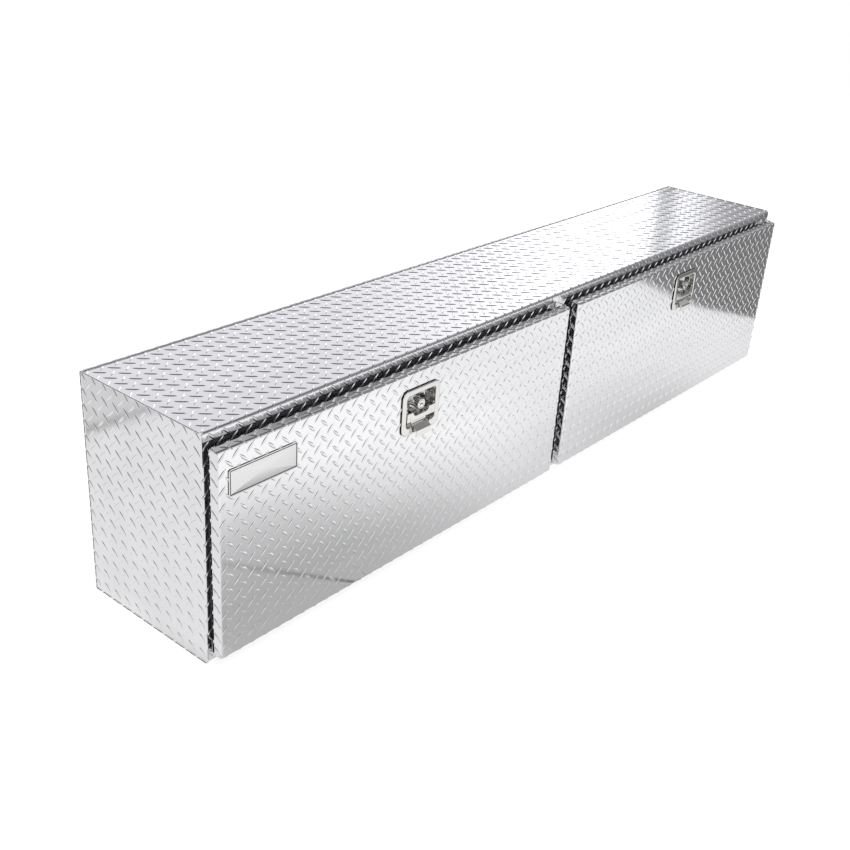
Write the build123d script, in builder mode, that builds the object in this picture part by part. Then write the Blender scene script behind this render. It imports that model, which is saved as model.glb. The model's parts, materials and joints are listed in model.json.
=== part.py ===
"""Two-door truck tool box of aluminium tread plate, with drop-down doors and flush paddle latches.

Millimetres. +X runs along the length, -Y is the door side and +Z is up. The origin is the middle of the
overall depth and length, on the face that the box stands on.
"""
from build123d import *
from math import cos, radians, sin
import os

# ---- overall sizes -------------------------------------------------------------------------------
box_length = 1828.8
box_height = 406.4
body_depth = 290.8          # front plane of the body to its back
door_stand_off = 26.7       # door's front face ahead of the body's front plane
latch_stand_off = 10.5      # finger tab's outer face ahead of the door's front face

# ---- sheets and their bends ----------------------------------------------------------------------
plate = 2.4                 # tread plate measured over its lugs
bend_radius = 5.5           # outside of a bend
liner_sheet = 1.2
header_height = 55.0        # front strip that hangs from the top
sill_height = 55.0          # front strip that stands on the bottom
jamb_width = 30.0
rear_flange = 25.0          # of the top and the bottom, inside the back panel
post_width = 72.0
post_depth = 20.0

# ---- doors ---------------------------------------------------------------------------------------
side_margin = 6.0           # door edge to the end of the body
top_margin = 22.0
bottom_margin = 17.0
door_gap = 28.5             # between the two doors
flange_stand_off = 8.4      # flange's back edge ahead of the body's front plane
liner_stand_off = 10.2      # liner's front face ahead of the body's front plane
pan_corner_radius = 3.3     # upright corners of the door pan
liner_corner_radius = 3.3

# ---- seals ---------------------------------------------------------------------------------------
seal_width = 9.0
seal_inset = 13.0           # door edge to the middle of the seal, at the top and the sides
seal_sill_height = 45.0     # middle of the seal's bottom run above the base
seal_gap = 0.3              # seal's crown to the liner
seal_crown_radius = 3.6

# ---- hinges --------------------------------------------------------------------------------------
hinge_leaf = 1.3
knuckle_radius = 3.2
hinge_pin_radius = 1.6
knuckle_count = 21
knuckle_gap = 0.4
hinge_end_margin = 7.0      # hinge's end to the door's end
sill_leaf_height = 21.0     # above the pin
door_leaf_setback = 0.6     # door leaf's front edge to the pan's bend
sill_rivet_rise = 13.65     # sill rivets above the pin
pin_running_clearance = 0.05
fixed_clearance = 0.02
rivet_radius = 1.6
rivet_head_radius = 3.2
rivet_head = 0.9
rivet_tail_radius = 2.5
rivet_tail = 1.5
rivet_count = 9
rivet_pitch = 100.0

# ---- latches, drawn from the middle of the bezel: across, up, and inward from the door's face ---------
latch_below_door_top = 74.5     # middle of the bezel below the door's top edge
bezel_width = 97.0
bezel_height = 85.0
bezel_corner = 13.0
latch_sheet = 1.5
gasket_thickness = 1.0
dish_width = 75.0
dish_height = 60.0
dish_rise = 1.5             # dish's middle above the bezel's middle
dish_corner = 7.0
dish_depth = 22.5           # door's face to the dish's floor
dish_draft = 4.0
scoop_width = 46.0
scoop_drop = 7.5            # scoop's lower edge below the dish's lower edge
scoop_depth = 9.5           # door's face to the scoop's floor
cut_out_clearance = 1.0     # dish wall to the cut-outs in skin and liner
stud_across = 43.8
stud_up = 32.0
stud_radius = 2.0
stud_proud = 1.0            # stud's end beyond its nut
border_radius = 0.9         # rounding of the bezel's edges
gasket_margin = 1.0         # gasket's edge inside the bezel's edge
nut_width = 7.0
nut_thickness = 3.2

paddle_pin_in = 8.0
paddle_pin_up = -10.0
paddle_pin_radius = 2.0
paddle_width = 72.0
paddle_top = -2.0
paddle_bottom = -18.0
paddle_notch_width = 25.0
paddle_hub_radius = 4.2
paddle_pull = 30.0          # degrees
stem_width = 6.72           # bar to hub, at the ears
stem_back_off = 0.01        # stems end inside the bar's outer face
web_height = 4.5            # bar to hub, behind the arm
web_drop = 1.0
tongue_overlap = 2.0        # tongue's start on the bar
tongue_turn = 0.5           # bar's lower edge to the tongue's turn inwards
tongue_in = 3.0             # door's face to the sunk stretch's outer face
tongue_sunk_top = -20.5
tongue_sunk_bottom = -26.0
tongue_drop = 6.0           # dish's lower edge to where the tab begins
tongue_bend = 2.5
ear_across = 33.0           # middle of the bar to the inner face of an ear
ear_thickness = 1.6
tab_width = 38.0
tab_gap = 9.0               # door's face to the inner face of the tab
tab_bottom = -47.0
arm_width = 8.0
arm_thickness = 4.0
arm_tip_radius = 2.5
arm_clearance = 1.0         # arm to the edges of its slots
bolt_travel = 12.0

lock_up = 8.7
lock_radius = 9.5
lock_neck_radius = 8.0
lock_chamfer = 0.8
lock_proud = 2.2            # lock's face ahead of the door's face
plug_radius = 6.5
lock_neck_end = 29.5
lock_nut_across_flats = 20.0
lock_nut_thickness = 4.0
key_slot_width = 1.8
key_slot_length = 8.0
key_slot_depth = 10.0
tail_radius = 3.5
tail_stub = 1.0             # tail's end behind the cam
tail_clearance = 1.0        # tail to the bolt's window
cam_clearance = 0.6         # guide's lips to the cam
cam_thickness = 2.5
cam_reach = 24.0
cam_width = 10.0
cam_rim = 3.0               # of the cam round the plug's tail

guide_sheet = 1.2
guide_half_width = 27.0
guide_top = 30.0
guide_bottom = -45.0
guide_lip = 4.0             # width of a lip, half of it over the bolt
bolt_half_width = 15.0
strike_clearance = 0.6      # strike to the bolt's front
bolt_thickness = 8.0
bolt_bottom = -26.0
bolt_engagement = 7.0       # bolt's top above the header's lower edge
bolt_side_clearance = 0.5
bolt_bevel = 5.5
fork_clearance = 0.5
fork_lip = 2.8
lug_width = 4.0
lug_height = 5.0
lug_clearance = 1.0         # lug to the cam's hub

strike_width = 60.0
strike_thickness = 2.0
strike_height = 24.0
strike_edge_radius = 1.2

spring_wire = 1.0
return_spring_radius = 3.3
return_spring_turns = 5
bolt_spring_radius = 3.6
bolt_spring_turns = 4.5
return_spring_pitch = 1.5

# ---- nameplate and stay anchors ------------------------------------------------------------------
nameplate_width = 137.0
nameplate_height = 45.0
nameplate_thickness = 0.8
nameplate_from_edge = 21.0
nameplate_below_top = 36.0
nameplate_corner = 4.0
anchor_below_door_top = 84.4
anchor_width = 18.0
anchor_reach = 26.0
anchor_sheet = 2.0
anchor_hole_radius = 3.2
door_anchor_inset = 40.0    # door edge to the anchor's middle

# ---- places that follow from the sizes -----------------------------------------------------------
overall_depth = body_depth + door_stand_off + latch_stand_off
back_y = overall_depth / 2
body_y = back_y - body_depth
door_y = body_y - door_stand_off
end_x = box_length / 2
inner_end_x = end_x - plate
header_z = box_height - header_height
door_width = (box_length - 2 * side_margin - door_gap) / 2
door_bottom = bottom_margin
door_top = box_height - top_margin
door_height = door_top - door_bottom
door_middle_x = door_gap / 2 + door_width / 2
door_flange_y = body_y - flange_stand_off
door_flange_depth = door_stand_off - flange_stand_off
liner_y = body_y - liner_stand_off
liner_depth = door_stand_off - liner_stand_off
liner_back_y = liner_y + liner_sheet
pin_y = body_y - knuckle_radius
pin_z = door_bottom + plate + hinge_leaf - knuckle_radius
door_leaf_depth = door_stand_off - knuckle_radius - bend_radius - door_leaf_setback
hinge_length = door_width - 2 * hinge_end_margin
knuckle_pitch = hinge_length / knuckle_count
sill_rivet_z = pin_z + sill_rivet_rise
door_rivet_y = (pin_y - door_leaf_depth + door_flange_y) / 2
latch_z = door_top - latch_below_door_top
anchor_height = door_top - anchor_below_door_top
strike_y = body_y + plate
arm_reach = bolt_travel / sin(radians(paddle_pull))
lock_tail_side = tail_radius + tail_clearance
bolt_top = header_z + bolt_engagement - latch_z
bolt_front = door_stand_off + plate + strike_thickness + strike_clearance
bolt_back = bolt_front + bolt_thickness
lip_front = bolt_back + bolt_side_clearance
cam_front = lip_front + guide_sheet + cam_clearance
tail_end = cam_front + cam_thickness + tail_stub
hands = {"left": -1, "right": 1}

os.makedirs("parts", exist_ok=True)


def save(piece, name):
    """Label one finished sub-part and write it under its own name."""
    piece.part.label = name
    export_step(piece.part, f"parts/{name}.step")


def side_plane(x):
    """Plane across the length at x: its first axis is +Y and its second is +Z."""
    return Plane(origin=(x, 0, 0), x_dir=(0, 1, 0), z_dir=(1, 0, 0))


def face_plane(x, y, z):
    """Plane that faces the front: its first axis is +X, its second +Z, and it is extruded towards -Y."""
    return Plane(origin=(x, y, z), x_dir=(1, 0, 0), z_dir=(0, -1, 0))


def latch_plane(x, inward=0.0):
    """Front-facing plane on the middle of a bezel, set inward from the door's face."""
    return face_plane(x, door_y + inward, latch_z)


# ==== body ========================================================================================
# Each body sheet is drawn as its bent profile, and the sheets meet edge to edge at welded corners.


def add_bent_sheet(points, radius):
    """Draw a sheet's profile to the left of the given outer line, with its bends rounded."""
    with BuildLine() as outline:
        FilletPolyline(*points, radius=radius)
        offset(amount=plate, side=Side.LEFT)
    make_face(outline.edges())


with BuildPart() as top_panel:
    with BuildSketch(side_plane(-inner_end_x)):
        add_bent_sheet(
            [
                (body_y, header_z),
                (body_y, box_height),
                (back_y - plate, box_height),
                (back_y - plate, box_height - rear_flange),
            ][::-1],
            bend_radius,
        )
    extrude(amount=2 * inner_end_x)

with BuildPart() as bottom_panel:
    with BuildSketch(side_plane(-inner_end_x)):
        add_bent_sheet(
            [
                (body_y, sill_height),
                (body_y, 0),
                (back_y - plate, 0),
                (back_y - plate, rear_flange),
            ],
            bend_radius,
        )
    extrude(amount=2 * inner_end_x)
    for hand in hands.values():
        with Locations(
            Location((hand * door_middle_x, body_y + plate / 2, sill_rivet_z), (90, 0, 0))
        ):
            with GridLocations(rivet_pitch, 1, rivet_count, 1):
                Cylinder(rivet_radius + fixed_clearance, 2 * plate, mode=Mode.SUBTRACT)

with BuildPart() as back_panel:
    with BuildSketch(face_plane(0, back_y, box_height / 2)):
        Rectangle(2 * inner_end_x, box_height)
    extrude(amount=plate)

end_panels = {}
for name, hand in hands.items():
    with BuildPart() as end_panel:
        with BuildSketch(Plane.XY):
            outline = [
                (hand * (end_x - jamb_width), body_y),
                (hand * end_x, body_y),
                (hand * end_x, back_y),
            ]
            add_bent_sheet(outline[::hand], bend_radius)
        extrude(amount=box_height)
        # the jamb stands between the sill and the header
        with BuildSketch(Plane.XY):
            with Locations((hand * (inner_end_x - jamb_width), (body_y + back_y) / 2)):
                Rectangle(2 * jamb_width, body_depth + 2 * plate)
        extrude(amount=sill_height, mode=Mode.SUBTRACT)
        with BuildSketch(Plane.XY.offset(header_z)):
            with Locations((hand * (inner_end_x - jamb_width), (body_y + back_y) / 2)):
                Rectangle(2 * jamb_width, body_depth + 2 * plate)
        extrude(amount=header_height, mode=Mode.SUBTRACT)
    end_panels[name] = end_panel

with BuildPart() as centre_post:
    with BuildSketch(Plane.XY.offset(sill_height)):
        add_bent_sheet(
            [
                (-post_width / 2, body_y + post_depth),
                (-post_width / 2, body_y),
                (post_width / 2, body_y),
                (post_width / 2, body_y + post_depth),
            ],
            bend_radius,
        )
    extrude(amount=header_z - sill_height)

save(top_panel, "top_panel")
save(bottom_panel, "bottom_panel")
save(back_panel, "back_panel")
save(end_panels["left"], "left_end_panel")
save(end_panels["right"], "right_end_panel")
save(centre_post, "centre_post")

# ==== one set of pieces for each door ===================================================================
for name, hand in hands.items():
    middle_x = hand * door_middle_x
    middle_z = (door_bottom + door_top) / 2

    # ---- seal on the frame, and strike and anchors inside it --------------------------------------
    seal_top = door_top - seal_inset
    with BuildPart() as door_seal:
        with BuildSketch(face_plane(middle_x, body_y, (seal_top + seal_sill_height) / 2)):
            RectangleRounded(
                door_width - 2 * seal_inset + seal_width,
                seal_top - seal_sill_height + seal_width,
                seal_width,
            )
            RectangleRounded(
                door_width - 2 * seal_inset - seal_width,
                seal_top - seal_sill_height - seal_width,
                seal_width / 2,
                mode=Mode.SUBTRACT,
            )
        extrude(amount=body_y - liner_back_y - seal_gap)
        crown = door_seal.faces().sort_by(Axis.Y)[0]
        fillet(crown.edges(), radius=seal_crown_radius)
    save(door_seal, f"{name}_door_seal")

    with BuildPart() as strike:
        with BuildSketch(face_plane(middle_x, strike_y, header_z + strike_height / 2)):
            Rectangle(strike_width, strike_height)
        extrude(amount=-strike_thickness)
        fillet(
            strike.edges().filter_by(Axis.X).group_by(Axis.Z)[0].sort_by(Axis.Y)[-1],
            radius=strike_edge_radius,
        )
    save(strike, f"{name}_strike")

    # An L-shaped ear on the jamb, and a flat ear on the side of the post.
    with BuildPart() as frame_anchors:
        jamb_edge_x = hand * (end_x - jamb_width)
        with BuildSketch(Plane.XY.offset(anchor_height - anchor_width / 2)):
            with Locations((jamb_edge_x + hand * anchor_width / 2, strike_y + anchor_sheet / 2)):
                Rectangle(anchor_width, anchor_sheet)
            with Locations((jamb_edge_x + hand * anchor_sheet / 2, strike_y + anchor_reach / 2)):
                Rectangle(anchor_sheet, anchor_reach)
        extrude(amount=anchor_width)
        post_face_x = hand * (post_width / 2 + anchor_sheet / 2)
        with BuildSketch(Plane.XY.offset(anchor_height - anchor_width / 2)):
            with Locations((post_face_x, strike_y + anchor_reach / 2 + bend_radius)):
                Rectangle(anchor_sheet, anchor_reach)
        extrude(amount=anchor_width)
        for ear_x, ear_end in (
            (jamb_edge_x, strike_y + anchor_reach),
            (post_face_x, strike_y + anchor_reach + bend_radius),
        ):
            with Locations(Location((ear_x, ear_end - anchor_width / 2, anchor_height), (0, 90, 0))):
                Cylinder(anchor_hole_radius, 3 * anchor_sheet, mode=Mode.SUBTRACT)
    save(frame_anchors, f"{name}_frame_anchors")

    with BuildPart() as door_anchors:
        for side in (-1, 1):
            foot_x = middle_x + side * (door_width / 2 - door_anchor_inset)
            with BuildSketch(Plane.XY.offset(anchor_height - anchor_width / 2)):
                with Locations((foot_x, liner_back_y + anchor_sheet / 2)):
                    Rectangle(anchor_width, anchor_sheet)
                with Locations(
                    (foot_x - side * (anchor_width - anchor_sheet) / 2, liner_back_y + anchor_reach / 2)
                ):
                    Rectangle(anchor_sheet, anchor_reach)
            extrude(amount=anchor_width)
            hole_y = liner_back_y + anchor_reach - anchor_width / 2
            with Locations(
                Location(
                    (foot_x - side * (anchor_width - anchor_sheet) / 2, hole_y, anchor_height), (0, 90, 0)
                )
            ):
                Cylinder(anchor_hole_radius, 3 * anchor_sheet, mode=Mode.SUBTRACT)
    save(door_anchors, f"{name}_door_anchors")

    # ---- door pan and its liner --------------------------------------------------------------------
    cut_width = dish_width + 2 * latch_sheet + 2 * cut_out_clearance
    cut_height = dish_height + 2 * latch_sheet + 2 * cut_out_clearance
    scoop_cut_width = scoop_width + 2 * latch_sheet + 2 * cut_out_clearance
    scoop_up = dish_rise - dish_height / 2 - scoop_drop / 2

    with BuildPart() as door_skin:
        with BuildSketch(face_plane(middle_x, door_flange_y, middle_z)):
            Rectangle(door_width, door_height)
        extrude(amount=door_flange_depth)
        fillet(door_skin.edges().filter_by(Axis.Y), radius=pan_corner_radius)
        fillet(door_skin.faces().sort_by(Axis.Y)[0].edges(), radius=bend_radius)
        offset(amount=-plate, openings=door_skin.faces().sort_by(Axis.Y)[-1])
        with BuildSketch(latch_plane(middle_x)):
            with Locations((0, dish_rise)):
                Rectangle(cut_width, cut_height)
            with Locations((0, scoop_up)):
                Rectangle(scoop_cut_width, scoop_drop + 2 * (latch_sheet + cut_out_clearance))
        extrude(amount=-1.5 * plate, mode=Mode.SUBTRACT)
        with Locations(latch_plane(middle_x)):
            with GridLocations(2 * stud_across, 2 * stud_up, 2, 2):
                Cylinder(stud_radius + fixed_clearance, 3 * plate, mode=Mode.SUBTRACT)
        with Locations(Location((middle_x, door_rivet_y, door_bottom + plate / 2))):
            with GridLocations(rivet_pitch, 1, rivet_count, 1):
                Cylinder(rivet_radius + fixed_clearance, 2 * plate, mode=Mode.SUBTRACT)
    save(door_skin, f"{name}_door_skin")

    liner_bottom = door_bottom + plate + hinge_leaf
    liner_top = door_top - plate
    with BuildPart() as door_liner:
        with BuildSketch(face_plane(middle_x, liner_y, (liner_bottom + liner_top) / 2)):
            RectangleRounded(door_width - 2 * plate, liner_top - liner_bottom, liner_corner_radius)
        extrude(amount=-liner_sheet)
        with BuildSketch(latch_plane(middle_x, liner_depth)):
            with Locations((0, dish_rise)):
                Rectangle(cut_width, cut_height)
        extrude(amount=-liner_sheet, mode=Mode.SUBTRACT)
    save(door_liner, f"{name}_door_liner")

    # ---- piano hinge: sill leaf, door leaf, pin and two rows of rivets --------------------------------
    knuckle_x = [middle_x + (i - (knuckle_count - 1) / 2) * knuckle_pitch for i in range(knuckle_count)]
    sill_knuckles = knuckle_x[0::2]
    door_knuckles = knuckle_x[1::2]
    notch_reach = knuckle_radius + 2 * knuckle_gap

    with BuildPart() as sill_leaf:
        with BuildSketch(face_plane(middle_x, body_y, pin_z + sill_leaf_height / 2)):
            Rectangle(hinge_length, sill_leaf_height)
        extrude(amount=hinge_leaf)
        for x in door_knuckles:
            with Locations((x, pin_y, pin_z)):
                Box(knuckle_pitch + knuckle_gap, 4 * knuckle_radius, 2 * notch_reach, mode=Mode.SUBTRACT)
        for x in sill_knuckles:
            with Locations(Location((x, pin_y, pin_z), (0, 90, 0))):
                Cylinder(knuckle_radius, knuckle_pitch - knuckle_gap)
        with Locations(Location((middle_x, pin_y, pin_z), (0, 90, 0))):
            Cylinder(hinge_pin_radius + fixed_clearance, 2 * hinge_length, mode=Mode.SUBTRACT)
        with Locations(Location((middle_x, body_y, sill_rivet_z), (90, 0, 0))):
            with GridLocations(rivet_pitch, 1, rivet_count, 1):
                Cylinder(rivet_radius + fixed_clearance, 4 * hinge_leaf, mode=Mode.SUBTRACT)
    save(sill_leaf, f"{name}_hinge_sill_leaf")

    leaf_z = door_bottom + plate
    with BuildPart() as door_leaf:
        with BuildSketch(Plane.XY.offset(leaf_z)):
            with Locations((middle_x, pin_y - door_leaf_depth / 2)):
                Rectangle(hinge_length, door_leaf_depth)
        extrude(amount=hinge_leaf)
        for x in sill_knuckles:
            with Locations((x, pin_y, pin_z)):
                Box(knuckle_pitch + knuckle_gap, 2 * notch_reach, 4 * knuckle_radius, mode=Mode.SUBTRACT)
        for x in door_knuckles:
            with Locations(Location((x, pin_y, pin_z), (0, 90, 0))):
                Cylinder(knuckle_radius, knuckle_pitch - knuckle_gap)
        with Locations(Location((middle_x, pin_y, pin_z), (0, 90, 0))):
            Cylinder(hinge_pin_radius + pin_running_clearance, 2 * hinge_length, mode=Mode.SUBTRACT)
        with Locations(Location((middle_x, door_rivet_y, leaf_z))):
            with GridLocations(rivet_pitch, 1, rivet_count, 1):
                Cylinder(rivet_radius + fixed_clearance, 4 * hinge_leaf, mode=Mode.SUBTRACT)
    save(door_leaf, f"{name}_hinge_door_leaf")

    with BuildPart() as hinge_pin:
        with Locations(Location((middle_x, pin_y, pin_z), (0, 90, 0))):
            Cylinder(hinge_pin_radius, hinge_length)
    save(hinge_pin, f"{name}_hinge_pin")

    with BuildPart() as sill_rivets:
        grip = hinge_leaf + plate
        for i in range(rivet_count):
            x = middle_x + (i - (rivet_count - 1) / 2) * rivet_pitch
            head_face = face_plane(x, body_y - hinge_leaf, sill_rivet_z)
            with BuildSketch(head_face):
                Circle(rivet_radius)
            extrude(amount=-grip)
            with BuildSketch(head_face):
                Circle(rivet_head_radius)
            extrude(amount=rivet_head)
            with BuildSketch(face_plane(x, body_y + plate, sill_rivet_z)):
                Circle(rivet_tail_radius)
            extrude(amount=-rivet_tail)
    save(sill_rivets, f"{name}_hinge_sill_rivets")

    with BuildPart() as door_rivets:
        for i in range(rivet_count):
            x = middle_x + (i - (rivet_count - 1) / 2) * rivet_pitch
            with BuildSketch(Plane.XY.offset(door_bottom)):
                with Locations((x, door_rivet_y)):
                    Circle(rivet_radius)
            extrude(amount=grip)
            with BuildSketch(Plane.XY.offset(door_bottom - rivet_head)):
                with Locations((x, door_rivet_y)):
                    Circle(rivet_head_radius)
            extrude(amount=rivet_head)
            with BuildSketch(Plane.XY.offset(door_bottom + grip)):
                with Locations((x, door_rivet_y)):
                    Circle(rivet_tail_radius)
            extrude(amount=rivet_tail)
    save(door_rivets, f"{name}_hinge_door_rivets")

    # ---- latch dish with its bezel, studs, gasket and nuts ---------------------------------------------
    bezel_front = -(gasket_thickness + latch_sheet)
    dish_back = dish_depth + latch_sheet
    taper_length = dish_depth - bezel_front
    with BuildPart() as latch_dish:
        with BuildSketch(latch_plane(middle_x, bezel_front)):
            RectangleRounded(bezel_width, bezel_height, bezel_corner)
        extrude(amount=-latch_sheet)
        fillet(latch_dish.faces().sort_by(Axis.Y)[0].edges(), radius=border_radius)
        with BuildSketch(latch_plane(middle_x, bezel_front)):
            with Locations((0, dish_rise)):
                RectangleRounded(
                    dish_width + 2 * latch_sheet, dish_height + 2 * latch_sheet, dish_corner + latch_sheet
                )
        extrude(amount=-(taper_length + latch_sheet), taper=dish_draft)
        with BuildSketch(latch_plane(middle_x, bezel_front + latch_sheet)):
            with Locations((0, scoop_up)):
                Rectangle(scoop_width + 2 * latch_sheet, scoop_drop + 2 * latch_sheet)
        extrude(amount=-(scoop_depth + gasket_thickness + latch_sheet))
        with BuildSketch(latch_plane(middle_x, bezel_front)):
            with Locations((0, dish_rise)):
                RectangleRounded(dish_width, dish_height, dish_corner)
        extrude(amount=-taper_length, taper=dish_draft, mode=Mode.SUBTRACT)
        with BuildSketch(latch_plane(middle_x, bezel_front)):
            with Locations((0, scoop_up + dish_corner / 2)):
                Rectangle(scoop_width, scoop_drop + dish_corner)
        extrude(amount=-(scoop_depth - bezel_front), mode=Mode.SUBTRACT)
        # hole for the lock's neck, slot for the paddle's arm, and holes for the paddle's pin
        with Locations(latch_plane(middle_x, dish_back)):
            with Locations((0, lock_up)):
                Cylinder(lock_neck_radius + fixed_clearance, 4 * latch_sheet, mode=Mode.SUBTRACT)
        arm_slot_top = paddle_pin_up + arm_thickness / 2 + arm_clearance
        arm_slot_bottom = paddle_pin_up - bolt_travel
        with BuildSketch(latch_plane(middle_x, dish_back)):
            with Locations((0, (arm_slot_top + arm_slot_bottom) / 2)):
                Rectangle(arm_width + 2 * arm_clearance, arm_slot_top - arm_slot_bottom)
        extrude(amount=2 * latch_sheet, mode=Mode.SUBTRACT)
        pin_location = Location((middle_x, door_y + paddle_pin_in, latch_z + paddle_pin_up), (0, 90, 0))
        with Locations(pin_location):
            Cylinder(paddle_pin_radius + fixed_clearance, 2 * dish_width, mode=Mode.SUBTRACT)
        with BuildSketch(latch_plane(middle_x, bezel_front + latch_sheet)):
            with GridLocations(2 * stud_across, 2 * stud_up, 2, 2):
                Circle(stud_radius)
        extrude(amount=-(gasket_thickness + plate + nut_thickness + stud_proud))
    save(latch_dish, f"{name}_latch_dish")

    with BuildPart() as gasket:
        with BuildSketch(latch_plane(middle_x)):
            RectangleRounded(
                bezel_width - 2 * gasket_margin,
                bezel_height - 2 * gasket_margin,
                bezel_corner - gasket_margin,
            )
            with Locations((0, dish_rise)):
                Rectangle(cut_width, cut_height, mode=Mode.SUBTRACT)
            with Locations((0, scoop_up)):
                Rectangle(
                    scoop_cut_width,
                    scoop_drop + 2 * (latch_sheet + cut_out_clearance),
                    mode=Mode.SUBTRACT,
                )
            with GridLocations(2 * stud_across, 2 * stud_up, 2, 2):
                Circle(stud_radius + fixed_clearance, mode=Mode.SUBTRACT)
        extrude(amount=gasket_thickness)
    save(gasket, f"{name}_latch_gasket")

    with BuildPart() as latch_nuts:
        with BuildSketch(latch_plane(middle_x, plate)):
            with GridLocations(2 * stud_across, 2 * stud_up, 2, 2):
                RegularPolygon(nut_width / 2, 6, major_radius=False)
                Circle(stud_radius + fixed_clearance, mode=Mode.SUBTRACT)
        extrude(amount=-nut_thickness)
    save(latch_nuts, f"{name}_latch_nuts")

    # ---- paddle with its finger tab and arm, its pin and its spring ---------------------------------------
    with BuildPart() as paddle:
        bar_height = paddle_top - paddle_bottom
        with BuildSketch(latch_plane(middle_x, bezel_front)):
            with Locations((0, (paddle_top + paddle_bottom) / 2)):
                Rectangle(paddle_width, bar_height)
            with Locations((0, paddle_top)):
                SlotOverall(paddle_notch_width + bar_height, bar_height, mode=Mode.SUBTRACT)
        extrude(amount=-latch_sheet)
        # tongue that dips into the dish, comes out over the scoop and ends in the tab
        tab_face = -tab_gap - latch_sheet
        dish_lower_edge = dish_rise - dish_height / 2
        with BuildSketch(side_plane(middle_x - tab_width / 2)):
            with BuildLine():
                FilletPolyline(
                    (door_y + bezel_front, latch_z + paddle_bottom + tongue_overlap),
                    (door_y + bezel_front, latch_z + paddle_bottom - tongue_turn),
                    (door_y + tongue_in, latch_z + tongue_sunk_top),
                    (door_y + tongue_in, latch_z + tongue_sunk_bottom),
                    (door_y + tab_face, latch_z + dish_lower_edge - tongue_drop),
                    (door_y + tab_face, latch_z + tab_bottom),
                    radius=tongue_bend,
                )
                offset(amount=latch_sheet, side=Side.LEFT)
            make_face()
        extrude(amount=tab_width)
        # ears at both ends of the bar, and the hub and arm in its middle
        for side in (-1, 1):
            ear_x = middle_x + side * (ear_across + ear_thickness / 2) - ear_thickness / 2
            with BuildSketch(side_plane(ear_x)):
                with Locations((door_y + paddle_pin_in, latch_z + paddle_pin_up)):
                    Circle(paddle_hub_radius)
                with Locations((door_y + (bezel_front + paddle_pin_in) / 2, latch_z + paddle_pin_up)):
                    Rectangle(paddle_pin_in - bezel_front - stem_back_off, stem_width)
            extrude(amount=ear_thickness)
        with BuildSketch(side_plane(middle_x - arm_width / 2)):
            with Locations((door_y + paddle_pin_in, latch_z + paddle_pin_up)):
                Circle(paddle_hub_radius)
            with Locations((door_y + paddle_pin_in + arm_reach / 2, latch_z + paddle_pin_up)):
                Rectangle(arm_reach, arm_thickness)
            with Locations((door_y + paddle_pin_in + arm_reach, latch_z + paddle_pin_up)):
                Circle(arm_tip_radius)
            with Locations(
                (
                    door_y + (bezel_front + paddle_pin_in) / 2,
                    latch_z + (paddle_pin_up + paddle_bottom) / 2 - web_drop,
                )
            ):
                Rectangle(paddle_pin_in - bezel_front - stem_back_off, web_height)
        extrude(amount=arm_width)
        with Locations(pin_location):
            Cylinder(paddle_pin_radius + pin_running_clearance, 2 * dish_width, mode=Mode.SUBTRACT)
    save(paddle, f"{name}_paddle")

    with BuildPart() as paddle_pin:
        with Locations(pin_location):
            Cylinder(paddle_pin_radius, dish_width + 2 * latch_sheet)
    save(paddle_pin, f"{name}_paddle_pin")

    with BuildPart() as return_spring:
        start_x = middle_x + arm_width / 2 + spring_wire
        with BuildLine():
            return_path = Helix(
                pitch=return_spring_pitch,
                height=return_spring_pitch * return_spring_turns,
                radius=return_spring_radius,
                center=(start_x, door_y + paddle_pin_in, latch_z + paddle_pin_up),
                direction=(1, 0, 0),
            )
        with BuildSketch(Plane(origin=return_path @ 0, z_dir=return_path % 0)):
            Circle(spring_wire / 2)
        sweep(path=return_path, is_frenet=True)
    save(return_spring, f"{name}_paddle_spring")

    # ---- lock: housing, nut, plug and cam -------------------------------------------------------------------
    lock_face = -lock_proud
    with BuildPart() as lock_housing:
        with BuildSketch(latch_plane(middle_x, lock_face)):
            with Locations((0, lock_up)):
                Circle(lock_radius)
        extrude(amount=-(dish_depth + lock_proud))
        chamfer(lock_housing.faces().sort_by(Axis.Y)[0].edges(), length=lock_chamfer)
        with BuildSketch(latch_plane(middle_x, dish_depth)):
            with Locations((0, lock_up)):
                Circle(lock_neck_radius)
        extrude(amount=-(lock_neck_end - dish_depth))
        with BuildSketch(latch_plane(middle_x, lock_face)):
            with Locations((0, lock_up)):
                Circle(plug_radius + pin_running_clearance)
        extrude(amount=-(lock_neck_end + lock_proud), mode=Mode.SUBTRACT)
    save(lock_housing, f"{name}_lock_housing")

    nut_in = dish_back + guide_sheet
    with BuildPart() as lock_nut:
        with BuildSketch(latch_plane(middle_x, nut_in)):
            with Locations((0, lock_up)):
                RegularPolygon(lock_nut_across_flats / 2, 6, major_radius=False, rotation=30)
                Circle(lock_neck_radius + fixed_clearance, mode=Mode.SUBTRACT)
        extrude(amount=-lock_nut_thickness)
    save(lock_nut, f"{name}_lock_nut")

    with BuildPart() as lock_plug:
        with BuildSketch(latch_plane(middle_x, lock_face)):
            with Locations((0, lock_up)):
                Circle(plug_radius)
        extrude(amount=-(lock_neck_end + lock_proud))
        with BuildSketch(latch_plane(middle_x, lock_face)):
            with Locations((0, lock_up)):
                Rectangle(key_slot_length, key_slot_width)
        extrude(amount=-key_slot_depth, mode=Mode.SUBTRACT)
        with BuildSketch(latch_plane(middle_x, lock_neck_end)):
            with Locations((0, lock_up)):
                Circle(tail_radius)
        extrude(amount=-(tail_end - lock_neck_end))
    save(lock_plug, f"{name}_lock_plug")

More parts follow.
